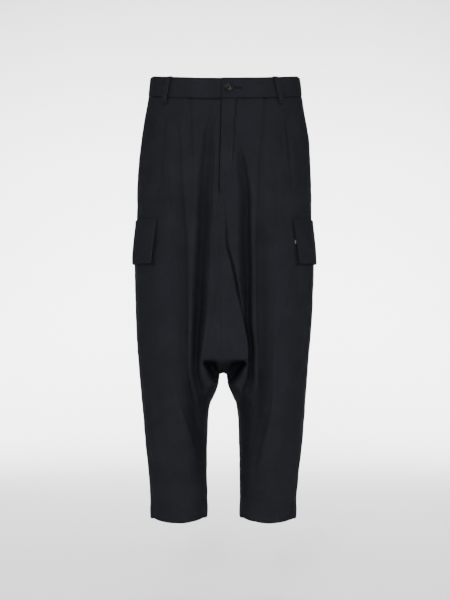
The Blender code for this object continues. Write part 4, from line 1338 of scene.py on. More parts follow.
    def seams(self, drop: Array, rounds: Array, to_inner: Array) -> Array:
        """How far the seams and the hem pull the cloth in.

        Args:
            drop: The points' levels.
            rounds: Their distances from the side seam.
            to_inner: Their distances from the inner edge.

        Returns:
            The depths.
        """
        near_fly = 1 - ease((drop - self.form.fly_end) / 0.006)
        near_crotch = ease((drop - self.sling[0]) / 0.02) * (1 - ease((drop - 0.606) / 0.02))
        inner = self.tuck * (0.15 + 0.55 * ease((drop - self.form.crotch) / 0.03)) * (1 - near_crotch)
        if self.face is Face.FRONT:
            at_fly = self.fly_tuck if self.side is Side.RIGHT else 0.0
            inner = inner * (1 - near_fly) + at_fly * near_fly
        depth = self.tuck * bell(rounds, self.tuck_width)
        depth = depth + inner * bell(to_inner, self.tuck_width)
        deep, size, reach = self.pucker
        for away, shift, share in ((rounds, 0.0, 1.0), (to_inner, 3.0, 1 - near_crotch)):
            wave = ripple(np.full_like(drop, shift), drop, size, 5)
            depth += deep * share * wave * np.exp(-away / reach)
        below = drop - self.form.waist_seam
        depth += self.band_tuck[0] * bell(below, self.band_tuck[1])
        if (self.face, self.side) == (Face.FRONT, Side.RIGHT):
            near = 1 - ease((to_inner - self.under_band[1]) / self.under_band[2])
            depth += self.under_band[0] * near * bell(below, 0.006)
        deep, size, reach = self.gather
        wave = ripple(rounds, np.zeros_like(rounds), size, self.seed + 7)
        depth += deep * wave * np.exp(-np.maximum(below, 0) / reach) * ease((below - 0.002) / 0.01)
        for height, width, deep in self.hem_relief:
            depth += deep * bell(self.form.hem - drop - height, width)
        return depth

    def recess(self, x: Array, drop: Array, fine: Array, sewn: Array) -> Array:
        """How strong the painted shade is in the cloth's folds, creases and seams, and under the flaps.

        Args:
            x: The points' x.
            drop: Their levels.
            fine: How deep the fine creases are there.
            sewn: How deep the seams are there.

        Returns:
            The painted shade's strength, from 0 on open cloth to 1 at the bottom of the deepest folds.
        """
        # Painted shade in the fine creases and seams, and in the folds, deepest in the main valleys.
        total = (4.0 * np.maximum(fine, 0) + 6.0 * np.maximum(sewn, 0)) / self.full_recess
        for name, line in FOLDS[self.face].items():
            share = np.maximum(self.form.fold_depth({name: line}, x, drop), 0) / self.full_recess
            total += share**1.8 if name.startswith("main") else 1.1 * share
        # Painted shadow along the flaps' feet.
        level, height, start = self.flap_shadow
        total += 0.7 * bell(drop - level, height) * ease((np.abs(x) - start) / 0.006)
        # Patches of painted shade and painted shadow from the table.
        return total + self.form.fold_depth(PAINTED_SHADES[self.face], x, drop, broad_shape)

    def hem_lift(self, x: Array, drop: Array, rounds: Array, to_inner: Array) -> Array:
        """How far the cloth rides up near the hem, which hangs in an arc.

        Args:
            x: The points' x.
            drop: Their levels.
            rounds: Their distances from the side seam.
            to_inner: Their distances from the inner edge.

        Returns:
            The heights.
        """
        wide, tall = self.hem_fade
        rise = self.hem_rise[0] * ease(1 - rounds / wide)
        rise += self.hem_rise[1] * ease(1 - to_inner / wide)
        inward = np.minimum(np.abs(x - x[:, :1]), np.abs(x - x[:, -1:])) / np.abs(x[:, -1:] - x[:, :1])
        rise += self.hem_bow * ease(inward / 0.08) * np.cos(math.pi * inward) ** 2
        return rise * ease((drop - self.form.hem + tall) / tall)

    def build(self) -> Piece:
        """Builds and dresses the panel.

        Returns:
            The object, which replaces the panel's solid.
        """
        out = np.array((0.0, self.face.value, 0.0))
        drops = self.levels()
        rounds = np.array([self.columns(float(drop)) for drop in drops])
        to_inner = rounds[:, -1:] - rounds
        points = self.form.surface(self.side, self.face, drops, rounds)
        normals = outward_normals(points, out)
        normals[:, 0] = (self.side.value, 0.0, 0.0)
        above = drops < self.form.crotch
        normals[above, -1] = out
        normals[~above, -1] = (-self.side.value, 0.0, 0.0)
        x, drop = points[..., 0], -points[..., 2]
        level = np.repeat(drops[:, None], points.shape[1], axis=1)
        fine = self.creases(x, drop)
        sewn = self.seams(level, rounds, to_inner)
        held = ease(rounds / 0.012) * ease(to_inner / 0.010)
        depth = sewn + held * (fine + self.ripples(drop, rounds))
        # Painted shade in the folds, creases, seams and under the flaps, with more at the waistband's seam.
        recess = self.recess(x, drop, fine, sewn)
        recess += self.seam_shade[0] * bell(level - self.form.waist_seam, self.seam_shade[1])
        points[..., 2] += self.hem_lift(x, drop, rounds, to_inner)
        points = points - normals * depth[..., None]
        normals = outward_normals(points, out)
        self.net = Net(drops, rounds, points, normals)
        index = np.arange(drop.size).reshape(drop.shape)
        faces = grid_faces(index, flip=looks_in(points, normals, 5))
        material = self.finish.material(self.name)
        made = mesh_object(f"{self.name}_cloth", points.reshape(-1, 3), faces, material)
        cloth = np.stack((-self.face.value * rounds, level), axis=-1)
        # Ridge paling from the convexity, as wear and painted highlight, and the painted shade.
        paint_cloth(made, cloth.reshape(-1, 2), convexity(points, normals).ravel(), recess.ravel())
        wall = made.modifiers.new("ply", "SOLIDIFY")
        wall.thickness = self.ply
        wall.offset = -1.0
        rests = [f"waistband_{self.side.word}"]
        stand_for(made, self.name, flat=self.flat, held=Hold.DRAPED.value, rests_on=rests, area=self.area)
        return made

    def at_x(self, x: float, drop: float) -> Spot:
        """A point of the finished cloth at an x, and its normal."""
        return self.net.at(self.form.round_at_x(self.side, self.face, drop, x), drop)


# ------------------------------------------------------------------------------ stitches
@dataclass
class Needlework:
    """Rows of machine stitches, bar tacks and whipped edges, gathered into one piece.

    Attributes:
        name: The piece's name.
        node: The node that it is sewn on; not used.
        finish: Its thread.
        pitch: From one stitch to the next.
        length: A stitch's visible length.
        width: The thread's width.
        height: How far it stands out of the cloth.
        sides: How many sides the thread has.
        rings: Where its rings lie, from -1 at one end to 1 at the other.
        points: The points so far.
        faces: The faces so far.
    """

    name: str
    node: str
    finish: ThreadFinish
    pitch: float = 0.0031
    length: float = 0.0025
    width: float = 0.00050
    height: float = 0.00030
    sides: int = 6
    rings: Triple = (-0.72, 0.0, 0.72)
    points: list[Array] = field(default_factory=list, repr=False)
    faces: list[tuple[int, ...]] = field(default_factory=list, repr=False)

    def stitch(self, middle: Array, along: Array, out: Array, length: float | None = None) -> None:
        """Adds one stitch: a short round thread whose ends dip into the cloth.

        Args:
            middle: Its middle, on the cloth.
            along: Its direction.
            out: The cloth's outward normal.
            length: Its length, or None for the usual one.
        """
        half = (length or self.length) / 2
        along = unit(along - out * np.dot(along, out))
        across = np.cross(along, out)
        start, sides = len(self.points), self.sides
        self.points.append(middle - along * half - out * 0.4 * self.height)
        for ring in self.rings:
            swell = math.cos(ring * math.pi / 2.6)
            for k in range(sides):
                angle = 2 * math.pi * k / sides
                offset = across * math.cos(angle) * self.width / 2 * swell
                offset = offset + out * (math.sin(angle) * 0.5 + 0.2) * self.height * swell
                self.points.append(middle + along * half * ring + offset)
        self.points.append(middle + along * half - out * 0.4 * self.height)
        last = len(self.points) - 1
        firsts = [start + 1 + ring * sides for ring in range(len(self.rings))]
        for k in range(sides):
            after = (k + 1) % sides
            self.faces.append((start, start + 1 + after, start + 1 + k))
            for a, b in zip(firsts, firsts[1:]):
                self.faces.append((a + k, a + after, b + after, b + k))
            self.faces.append((last, firsts[-1] + k, firsts[-1] + after))

    def run(self, points: Sequence[Array], normals: Sequence[Array]) -> None:
        """Adds a row of stitches along a path.

        Args:
            points: The path's points, on the cloth.
            normals: The cloth's normals there.
        """
        points, normals = np.array(points), np.array(normals)
        gone = running(np.linalg.norm(np.diff(points, axis=0), axis=1))
        count = max(int(gone[-1] / self.pitch), 1)
        for k in range(count):
            place = (k + 0.5) * gone[-1] / count
            middle, before, after, out = (
                np.array([np.interp(place + shift, gone, grid[:, axis]) for axis in range(3)])
                for shift, grid in ((0, points), (-0.0006, points), (0.0006, points), (0, normals))
            )
            self.stitch(middle, after - before, unit(out))

    def tack(self, start: Array, end: Array, out: Array, width: float = 0.0022) -> None:
        """Adds a bar tack: close stitches across a short line.

        Args:
            start: Its start, on the cloth.
            end: Its end.
            out: The cloth's outward normal.
            width: Its width.
        """
        line = end - start
        across = np.cross(unit(line), out)
        count = max(int(np.linalg.norm(line) / 0.00052), 4)
        for k in range(count + 1):
            lean = unit(line) * 0.0004 * (1 if k % 2 else -1)
            self.stitch(start + line * k / count + out * 0.0001, across + lean * 250, out, width)

    def build(self) -> Piece:
        """Builds the stitches as one piece, and returns it."""
        made = mesh_object(self.name, np.array(self.points), self.faces, self.finish.material(self.name))
        return made


# ------------------------------------------------------------------------------ waistband
@dataclass
class Waistband:
    """The waistband in its two halves, with edge stitching and the buttonhole.

    Attributes:
        form: The form that it sits on.
        finish: Its cloth.
        thread: Its thread.
        height: Its height.
        thickness: Its thickness.
        roll: The width of its rounded edge.
        proud: How far it stands out from the panels.
        taper: The share of its size that it loses to its top edge.
        past: How far each half goes past the front line.
        lift: How far each half is lifted there.
        fade: The reaches from the front line between which that lift fades.
        seam_gap: The gap at its seam.
        side_dip: How far its top edge dips at the side seams.
        side_reach: How far in from the sides that dip reaches.
        stitch_in: How far its stitching runs from its edges.
        waves: Depth, stretch, usual length and seed of its two reliefs.
        shade: Depth of the shade at its lower edge, and the height over which it fades.
        flat: The width and length of each half's cut.
    """

    form: TrouserForm
    finish: ClothFinish
    thread: ThreadFinish
    height: float = 0.042
    thickness: float = 0.0028
    roll: float = 0.0016
    proud: float = 0.0006
    taper: float = 0.026
    past: dict[Side, float] = field(default_factory=lambda: {Side.LEFT: 0.0004, Side.RIGHT: 0.046})
    lift: dict[Side, float] = field(default_factory=lambda: {Side.LEFT: 0.0014, Side.RIGHT: -0.0018})
    fade: Pair = (0.045, 0.075)
    seam_gap: float = 0.00015
    side_dip: float = 0.0042
    side_reach: float = 0.010
    stitch_in: float = 0.0035
    waves: tuple[tuple[float, float, float, int], ...] = (
        (0.00030, 2.0, 0.055, 31),
        (0.00016, 1.0, 0.016, 41),
    )
    shade: Pair = (0.55, 0.0018)
    flat: dict[Side, Pair] = field(
        default_factory=lambda: {Side.LEFT: (0.4235, 0.084), Side.RIGHT: (0.470, 0.084)}
    )

    def reach(self, side: Side, face: Face = Face.FRONT) -> float:
        """The length of a half from the side seam to the line where it meets the other half."""
        return self.form.length(side, face, self.form.waist_seam)

    def row(self, side: Side, round_: float) -> tuple[Side, float, Face, tuple[Array, Array, Array]]:
        """The row that a place lies on.

        Args:
            side: The half.
            round_: The signed distance from the side seam. Past the front line it is on the
                other half.

        Returns:
            The half and the distance there, the face, and the row's x, y and distances round.
        """
        over = round_ - self.reach(side)
        if over > 0:
            side = Side(-side.value)
            round_ = self.reach(side) - over
        face = Face.FRONT if round_ >= 0 else Face.BACK
        return side, round_, face, self.form.base_row(side, face, self.form.waist_seam)

    def normal(self, side: Side, round_: float) -> Array:
        """The band's outward normal in plan.

        Args:
            side: The half.
            round_: The signed distance from the side seam.

        Returns:
            The normal.
        """
        side, round_, face, (x_base, y_base, length) = self.row(side, round_)
        place, near = abs(round_), 0.001
        if place > length[-1] - 2 * near:
            return np.array((0.0, face.value, 0.0))
        if place < near:
            return np.array((side.value, 0.0, 0.0))
        run = [
            np.interp(place + near, length, v) - np.interp(place - near, length, v)
            for v in (x_base, y_base)
        ]
        out = side.value * face.value
        return unit(np.array((out * run[1], -out * run[0], 0.0)))

    def point(self, side: Side, round_: float, height: float, out: float) -> Array:
        """A point on the band.

        Args:
            side: The half.
            round_: The signed distance from the side seam.
            height: The height over the band's lower edge.
            out: How far out of the cloth.

        Returns:
            The point.
        """
        facing = self.normal(side, round_)
        _, round_, _, (x_base, y_base, length) = self.row(side, round_)
        x, y = (float(np.interp(abs(round_), length, base)) for base in (x_base, y_base))
        size = 1 - self.taper * max(height, 0.0) / self.height
        z = -self.form.waist_seam + float(self.form.rise(y, self.form.waist_seam)) + height
        beside = 1 - float(ease(abs(x - x_base[0]) / self.side_reach))
        z -= self.side_dip * (height / self.height) ** 3 * beside
        return np.array((x * size, y * size, z)) + out * facing

    def stand(self, side: Side, round_: float) -> float:
        """How far the half's outer face stands out at a place, with the step at the overlap."""
        behind = self.reach(side) - round_
        near = 1 - float(ease((behind - self.fade[0]) / (self.fade[1] - self.fade[0])))
        return self.proud + self.lift[side] * near

    def on_face(self, side: Side, round_: float, height: float, sunk: float) -> Array:
        """A point a little under the band's outer face."""
        return self.point(side, round_, height, self.stand(side, round_) - sunk)

    def half(self, side: Side) -> Piece:
        """Builds one half of the band.

        Args:
            side: The half.

        Returns:
            The object.
        """
        start = -self.reach(side, Face.BACK) + self.seam_gap
        rounds = start + edge_spaced(self.reach(side) + self.past[side] - start, 0.0027)
        heights = edge_spaced(self.height - self.seam_gap, 0.0030) + self.seam_gap
        lines = (self.stitch_in, heights[-1] - self.stitch_in)
        sewn = [0.00030 * sum(math.exp(-(((h - line) / 0.0014) ** 2)) for line in lines) for h in heights]
        base = np.empty((len(heights), len(rounds), 3))
        normals = np.empty_like(base)
        for c, place in enumerate(rounds):
            normals[:, c] = self.normal(side, place)
            stand = self.stand(side, place)
            for r, height in enumerate(heights):
                wave = sum(
                    deep * float(ripple(place, height * stretch, size, seed + side.value))
                    for deep, stretch, size, seed in self.waves
                )
                base[r, c] = self.point(side, place, height, stand - self.thickness + wave - sewn[r])
        across, up = np.meshgrid(rounds, heights)
        # Painted shadow on the right half beside the left half's end, added to the painted shade along the
        # lower edge.
        over = self.reach(side) - self.past[Side.LEFT]
        under = bell(across - over, 0.0016) if side is Side.RIGHT else 0 * across
        name = f"waistband_{side.word}"
        made = padded_sheet(
            f"{name}_cloth",
            base,
            normals,
            self.thickness,
            from_edges(rounds, heights),
            self.roll,
            np.stack((up + 0.01, across), axis=-1),
            self.finish.material(name),
            under + self.shade[0] * np.exp(-((up - heights[0]) / self.shade[1])),
        )
        width, tall = self.flat[side]
        rests = [f"front_{side.word}", f"back_{side.word}"]
        area = width * tall / 2
        stand_for(made, name, flat=(width, tall), held=Hold.FOLDED.value, rests_on=rests, area=area)
        return made

    def stitching(self) -> Piece:
        """Builds the rows of stitches along the band's edges.

        Returns:
            The object.
        """
        work = Needlework("waistband_stitching", "waistband_left", self.thread)
        low, high = self.stitch_in, self.height - self.stitch_in
        for side in Side:
            end = self.reach(side) + (self.past[side] - 0.003 if side is Side.LEFT else -0.001)
            places = np.arange(-self.reach(side, Face.BACK) + 0.001, end, 0.004)
            for height in (low, high):
                spots = [self.on_face(side, place, height, 0.0002) for place in places]
                work.run(spots, [self.normal(side, place) for place in places])
        end = self.reach(Side.LEFT) + self.past[Side.LEFT] - 0.003
        spots = [self.on_face(Side.LEFT, end, height, 0.0001) for height in np.linspace(low, high, 12)]
        work.run(spots, [self.normal(Side.LEFT, end)] * len(spots))
        return work.build()

    def buttonhole(self, place: Pair, end: float) -> Piece:
        """Builds the buttonhole: whipped thread round a slit that the button closes.

        Args:
            place: x and z of the button's middle.
            end: x of the slit's far end.

        Returns:
            The object.
        """
        work = Needlework("buttonhole", "waistband_left", self.thread, width=0.00060, height=0.00055)
        seam, left = self.form.waist_seam, Side.LEFT
        x0, z = place
        for x in np.arange(x0 - 0.004, end, 0.00055):
            near = self.form.round_at_x(left, Face.FRONT, seam, x)
            height = z + seam - float(self.form.rise(self.point(left, near, 0, 0)[1], seam))
            for up in (0.0011, -0.0011):
                spot = self.on_face(left, near, height + up, 0.0001)
                work.stitch(spot, np.array((0.05, 0.0, 1.0)), self.normal(left, near), 0.0019)
        near = self.form.round_at_x(left, Face.FRONT, seam, end)
        for up in np.arange(-0.0018, 0.0019, 0.0005):
            spot = self.on_face(left, near, height + up, 0.0)
            work.stitch(spot, np.array((1.0, 0.0, 0.0)), self.normal(left, near), 0.0018)
        return work.build()

    def build(self) -> list[Piece]:
        """Builds both halves and their stitches, and returns them."""
        return [self.half(side) for side in Side] + [self.stitching()]


# ------------------------------------------------------------------------------ fly
@dataclass
class Fly:
    """The strip behind the fly, the fly's curved stitching and its bar tack.

    Attributes:
        form: The form that it lies behind.
        finish: Its cloth.
        thread: Its thread.
        tuck: How far the strip runs behind the right front.
        gap: The air between the strip and the fronts, with their cloth.
        ply: The cloth's thickness.
        roll: The width of its rounded edge.
        top: How far under the waist seam it starts.
        tack_line: Where the bar tack lies: its two ends' x, and its drop.
        curve: Where the stitching runs.
    """

    form: TrouserForm
    finish: ClothFinish
    thread: ThreadFinish
    tuck: float = 0.008
    gap: float = 0.0025
    ply: float = 0.0014
    roll: float = 0.0008
    top: float = 0.0004
    tack_line: Triple = (-0.0130, -0.0045, 0.2300)
    curve: Chart = Chart("drop x", """
        0.02 0.023, 0.05 0.0212, 0.082 0.018, 0.146 0.0156, 0.176 0.0128, 0.2 0.006, 0.216 -0.003,
        0.224 -0.011
    """)

    def shield(self) -> Piece:
        """Builds the strip behind the opening.

        Returns:
            The object, which replaces the strip's solid.
        """
        form = self.form
        drops = form.waist_seam + self.top + edge_spaced(form.fly_end - form.waist_seam - self.top, 0.004)
        width = self.tuck + form.fly_width
        across = edge_spaced(width, 0.003)
        base = np.empty((len(drops), len(across), 3))
        normals = np.empty_like(base)
        for r, drop in enumerate(drops):
            line = float(CENTRE.read("front", drop))
            for c, place in enumerate(across):
                x = line - self.tuck + place
                side = Side.RIGHT if x < line else Side.LEFT
                point, facing = form.spot(side, form.round_at_x(side, Face.FRONT, drop, x), drop)
                if side is Side.LEFT:
                    point = point + np.array((0.0, float(form.fly_height(x, drop)), 0.0))
                normals[r, c] = unit(facing * np.array((1.0, 1.0, 0.0)))
                base[r, c] = point - (self.gap + self.ply) * normals[r, c]
        down = drops - drops[0]
        cloth = np.stack(np.meshgrid(across, down), axis=-1)
        name, material = "fly_shield", self.finish.material("fly_shield")
        edge = from_edges(across, down)
        made = padded_sheet(f"{name}_cloth", base, normals, self.ply, edge, self.roll, cloth, material)
        flat = (width, float(down.max()))
        stand_for(made, name, flat=flat, held=Hold.DRAPED.value, rests_on=["front_left"])
        return made

    def stitching(self, left: Panel) -> Piece:
        """Builds the fly's stitches on the left front.

        Args:
            left: The left front panel.

        Returns:
            The object.
        """
        work = Needlework("fly_stitching", "front_left", self.thread)
        drops = np.linspace(self.curve.columns["drop"][0], self.curve.columns["drop"][-1], 70)
        work.run(*zip(*(left.at_x(float(self.curve.read("x", drop)), drop) for drop in drops)))
        start, end, drop = self.tack_line
        first, out = left.at_x(max(start, float(CENTRE.read("front", drop)) + 0.0003), drop)
        work.tack(first, left.at_x(end, drop)[0], out)
        return work.build()

    def build(self, left: Panel) -> list[Piece]:
        """Builds the strip and the stitches on the left front, and returns them."""
        return [self.shield(), self.stitching(left)]


# ------------------------------------------------------------------------------ pocket flaps
@dataclass
class Flap:
    """A cargo pocket's flap, wrapped round the side seam.

    Attributes:
        form: The form that it lies on.
        side: Its half.
        finish: Its cloth.
        thread: Its thread.
        front_x: x of its front edge at the top and at the foot.
        seed: Which set of small ripples it has.
        levels: Drop of its top and of its foot.
        back: How far behind the side seam it reaches.
        thickness: Its thickness.
        roll: The width of its rounded edge.
        seat: The air under its sewn edge.
        stand_off: More air under its foot.
        wave: The height of its gentle waves at its foot.
        curl: How far in from its side edges it curls up, and the length of that wave.
        corner: The radius of its lower corners.
        inset: How far its stitching runs from its edges.
        rows: How far under its top edge its two rows of stitching run.
        groove: How deep the stitching pulls it in, and the half width of that.
    """

    form: TrouserForm
    side: Side
    finish: ClothFinish
    thread: ThreadFinish
    front_x: Pair
    seed: int
    levels: Pair = (0.281, 0.372)
    back: float = 0.086
    thickness: float = 0.0024
    roll: float = 0.0016
    seat: float = 0.0008
    stand_off: float = 0.0026
    wave: float = 0.0007
    curl: Pair = (0.028, 0.018)
    corner: float = 0.0036
    inset: float = 0.0070
    rows: Pair = (0.0018, 0.0080)
    groove: Pair = (0.00025, 0.0014)

    @property
    def name(self) -> str:
        """The name of the node that it stands for."""
        return f"flap_{self.side.word}"

    @property
    def tall(self) -> float:
        """Its height."""
        return self.levels[1] - self.levels[0]

    @property
    def width(self) -> float:
        """Its width along its top."""
        return self.form.round_at_x(self.side, Face.FRONT, self.levels[0], self.front_x[0]) + self.back

    def edge_x(self, share: float) -> float:
        """x of its front edge at a share of its height."""
        return self.front_x[0] + (self.front_x[1] - self.front_x[0]) * share

    def place(self, across: float, share: float) -> tuple[float, float, float, float]:
        """A place on the flap.

        Args:
            across: The share of its width, from its front edge to its back edge.
            share: The share of its height, from its top to its foot.

        Returns:
            The signed round, the drop, the distance from the nearest side edge, and the height
            of the flap there.
        """
        level = self.levels[0] + self.tall * share
        front = self.form.round_at_x(self.side, Face.FRONT, level, self.edge_x(share))
        width = front + self.back
        from_side = min(across, 1 - across) * width
        cut = max(self.corner - from_side, 0.0)
        raised = self.corner - math.sqrt(self.corner**2 - cut**2)
        height = self.tall - raised
        return front - across * width, self.levels[0] + height * share, from_side, height

    def underside(self, place: tuple[float, float, float, float], share: float) -> tuple[Array, Array, float]:
        """Where the flap's underside lies.

        Args:
            place: The place on the flap.
            share: The share of its height, from its top to its foot.

        Returns:
            The point of the trousers under it, their normal, and the air between.
        """
        round_, drop, from_side, _ = place
        point, facing = self.form.spot(self.side, round_, drop)
        wave = self.wave * share * float(ripple(round_, drop, 0.050, self.seed))
        wave += self.wave * share * math.cos(from_side / self.curl[1]) * (from_side < self.curl[0])
        air = self.seat + self.stand_off * float(ease(share * 1.25))
        return point, facing, air + max(wave, -0.0006)

    def sheet(self) -> Piece:
        """Builds the flap.

        Returns:
            The object, which replaces the flap's solid.
        """
        shares = edge_spaced(self.tall, 0.0032) / self.tall
        across = edge_spaced(self.width, 0.0030) / self.width
        base = np.empty((len(shares), len(across), 3))
        normals = np.empty_like(base)
        edge = np.empty(base.shape[:2])
        cloth = np.empty((*edge.shape, 2))
        deep, half = self.groove
        for r, share in enumerate(shares):
            for c, wide in enumerate(across):
                place = self.place(wide, share)
                round_, drop, from_side, height = place
                point, facing, air = self.underside(place, share)
                below, over = share * height, (1 - share) * height
                gaps = [below - row for row in self.rows] + [from_side - self.inset, over - self.inset]
                sewn = sum(math.exp(-((gap / half) ** 2)) for gap in gaps)
                base[r, c] = point + (air - deep * sewn) * facing
                normals[r, c] = facing
                edge[r, c] = min(from_side, below, over)
                cloth[r, c] = (round_ + 0.4, drop)
        material = self.finish.material(self.name)
        name = f"{self.name}_cloth"
        made = padded_sheet(name, base, normals, self.thickness, edge, self.roll, cloth, material)
        flat = (round(self.width + 0.002, 4), self.tall)
        rests = [f"front_{self.side.word}", f"back_{self.side.word}"]
        stand_for(made, self.name, flat=flat, held=Hold.DRAPED.value, rests_on=rests)
        return made

    def stitching(self) -> Piece:
        """Builds the flap's stitches: two rows at its top, one along its other edges.

        Returns:
            The object.
        """
        work = Needlework(f"{self.name}_stitching", self.name, self.thread)
        high, low, side_in = self.rows[1] / self.tall, 1 - self.inset / self.tall, self.inset / self.width
        paths = [[(a, row / self.tall) for a in np.linspace(0.01, 0.99, 60)] for row in self.rows]
        around = [(side_in, s) for s in np.linspace(high, low, 24)]
        around += [(a, low) for a in np.linspace(side_in, 1 - side_in, 50)[1:]]
        around += [(1 - side_in, s) for s in np.linspace(low, high, 24)[1:]]
        for path in (*paths, around):
            spots, facings = [], []
            for across, share in path:
                point, facing, air = self.underside(self.place(across, share), share)
                spots.append(point + (air - 0.00022 + self.thickness) * facing)
                facings.append(facing)
            work.run(spots, facings)
        return work.build()

    def build(self) -> list[Piece]:
        """Builds the flap and its stitches, and returns them."""
        return [self.sheet(), self.stitching()]


@dataclass
class FlapTab:
    """The small pale tab in the left flap's front edge, left plain.

    Attributes:
        form: The form that it lies on.
        finish: Its ribbon.
        drop: Its level.
        size: Its length along the cloth, its height and its thickness.
        roll: The width of its rounded edge.
        curl: How far its free end curls away from the cloth.
        overlap: How far past the flap's edge the ribbon starts; below 0 it is tucked under.
    """

    form: TrouserForm
    finish: TabFinish
    drop: float = 0.329
    size: Triple = (0.0035, 0.0070, 0.0008)
    roll: float = 0.0005
    curl: float = 0.0004
    overlap: float = -0.0010

    def build(self, flap: Flap) -> Piece:
        """Builds the tab.

        Args:
            flap: The flap that it is sewn into.

        Returns:
            The object, which replaces the tab's solid.
        """
        length, height, thickness = self.size
        x = flap.edge_x((self.drop - flap.levels[0]) / flap.tall)
        along = np.linspace(0, length, 7)
        down = np.linspace(-height / 2, height / 2, 12)
        base = np.empty((len(down), len(along), 3))
        normals = np.empty_like(base)
        for r, lower in enumerate(down):
            start = self.form.round_at_x(flap.side, Face.FRONT, self.drop + lower, x) + self.overlap
            for c, out in enumerate(along):
                point, normals[r, c] = self.form.spot(flap.side, start + out, self.drop + lower)
                base[r, c] = point + (flap.seat + self.curl * (out / length) ** 2) * normals[r, c]
        cloth = np.stack(np.meshgrid(along, down + height / 2), axis=-1)
        name, edge = "flap_tab_ribbon", from_edges(along, down)
        material = self.finish.material("flap_tab")
        made = padded_sheet(name, base, normals, thickness, edge, self.roll, cloth, material)
        stand_for(made, "flap_tab")
        return made


# ------------------------------------------------------------------------------ belt loops
@dataclass
class BeltLoop:
    """A belt loop with its two rows of stitching and its bar tacks.

    Attributes:
        band: The waistband that it crosses.
        number: Its number.
        side: Its half.
        face: Its face.
        top_x: x of its middle at its top.
        foot_x: x of its middle at its foot.
        finish: Its cloth.
        thread: Its thread.
        width: Its width.
        thickness: Its thickness.
        roll: The width of its rounded edge.
        row: How far from its middle line its two rows of stitching run.
        relief: How far it bows out, and how deep its stitching pulls it in.
        run: How far its underside stands off the band at each height over the waist seam.
    """

    band: Waistband
    number: int
    side: Side
    face: Face
    top_x: float
    foot_x: float
    finish: ClothFinish
    thread: ThreadFinish
    width: float = 0.0115
    thickness: float = 0.0016
    roll: float = 0.0010
    row: float = 0.0036
    relief: float = 0.00022
    run: Chart = Chart("height gap", """
        0.04 0.0003, 0.0412 0.003, 0.0396 0.0056, 0.035 0.0066, 0.02 0.0069, 0.004 0.0068, -0.008 0.0062,
        -0.014 0.0046, -0.0165 0.0024, -0.017 0.0005
    """)

    @property
    def name(self) -> str:
        """The name of the node that it stands for."""
        return f"belt_loop_{self.number}"

    def path(self, steps: int = 64) -> Spot:
        """The loop's underside along its length, and the band's normals there.

        Args:
            steps: How many points it has.

        Returns:
            The points and the normals.
        """
        form, band = self.band.form, self.band
        heights, gaps = self.run.columns["height"], self.run.columns["gap"]
        gone = running(np.hypot(np.diff(heights), np.diff(gaps)))
        signed = 1 if self.face is Face.FRONT else -1
        points, normals = [], []
        for place in np.linspace(0, gone[-1], steps):
            height, gap = (float(np.interp(place, gone, values)) for values in (heights, gaps))
            down = (heights[0] - height) / (heights[0] - heights[-1])
            x = self.top_x + (self.foot_x - self.top_x) * down
            round_ = signed * form.round_at_x(self.side, self.face, form.waist_seam, x)
            facing = band.normal(self.side, round_)
            if height > -0.001:
                spot = band.point(self.side, round_, height, band.proud + gap)
            else:
                level = form.waist_seam - height
                round_ = signed * form.round_at_x(self.side, self.face, level, x)
                spot = form.spot(self.side, round_, level)[0] + gap * facing
                spot = spot + (1 - min(-height / 0.004, 1.0)) * band.proud * facing
            points.append(spot)
            normals.append(facing)
        points = np.array(points)
        for _ in range(3):
            points[1:-1] = (points[:-2] + 2 * points[1:-1] + points[2:]) / 4
        return points, np.array(normals)

    def build(self) -> list[Piece]:
        """Builds the loop and its stitches.

        Returns:
            The loop, which replaces its solid, and the stitches.
        """
        points, normals = self.path()
        across = unit(np.cross((0.0, 0.0, 1.0), normals))
        out = unit(np.cross(unit(np.gradient(points, axis=0)), across))
        steps = edge_spaced(self.width, 0.0016, (0.0003, 0.0007, 0.0012)) - self.width / 2
        gone = running(np.linalg.norm(np.diff(points, axis=0), axis=1))
        bow = self.relief * np.cos(steps / self.width * math.pi)
        groove = self.relief * bell(np.abs(steps) - self.row, 0.0009)
        base = points[:, None] + across[:, None] * steps[None, :, None]
        base = base + out[:, None] * (bow - groove)[None, :, None] * 0.5
        normals = np.repeat(out[:, None], len(steps), axis=1)
        cloth = np.stack(np.meshgrid(steps + 0.1 * self.number, gone), axis=-1)
        name, edge = f"{self.name}_cloth", from_edges(steps, gone)
        material = self.finish.material(self.name)
        made = padded_sheet(name, base, normals, self.thickness, edge, self.roll, cloth, material)
        flat = (self.width, round(float(gone[-1]), 4))
        rests = [f"waistband_{self.side.word}"]
        stand_for(made, self.name, flat=flat, held=Hold.STRETCHED.value, rests_on=rests)
        return [made, self.stitching(points, out, across)]

    def stitching(self, points: Array, out: Array, across: Array) -> Piece:
        """Builds the loop's rows of stitches and its bar tacks.

        Args:
            points: The loop's underside along its length.
            out: Its outward normals.
            across: The directions across it.

        Returns:
            The object.
        """
        work = Needlework(f"{self.name}_stitching", self.name, self.thread, pitch=0.0026, length=0.0021)
        face = points + out * (self.thickness - 0.0001)
        for shift in (-self.row, self.row):
            work.run(face[6:-6] + across[6:-6] * shift, out[6:-6])
        for k in (9, len(points) - 10):
            reach = across[k] * (self.width / 2 - 0.0012)
            work.tack(face[k] - reach, face[k] + reach, out[k], 0.0020)
        return work.build()


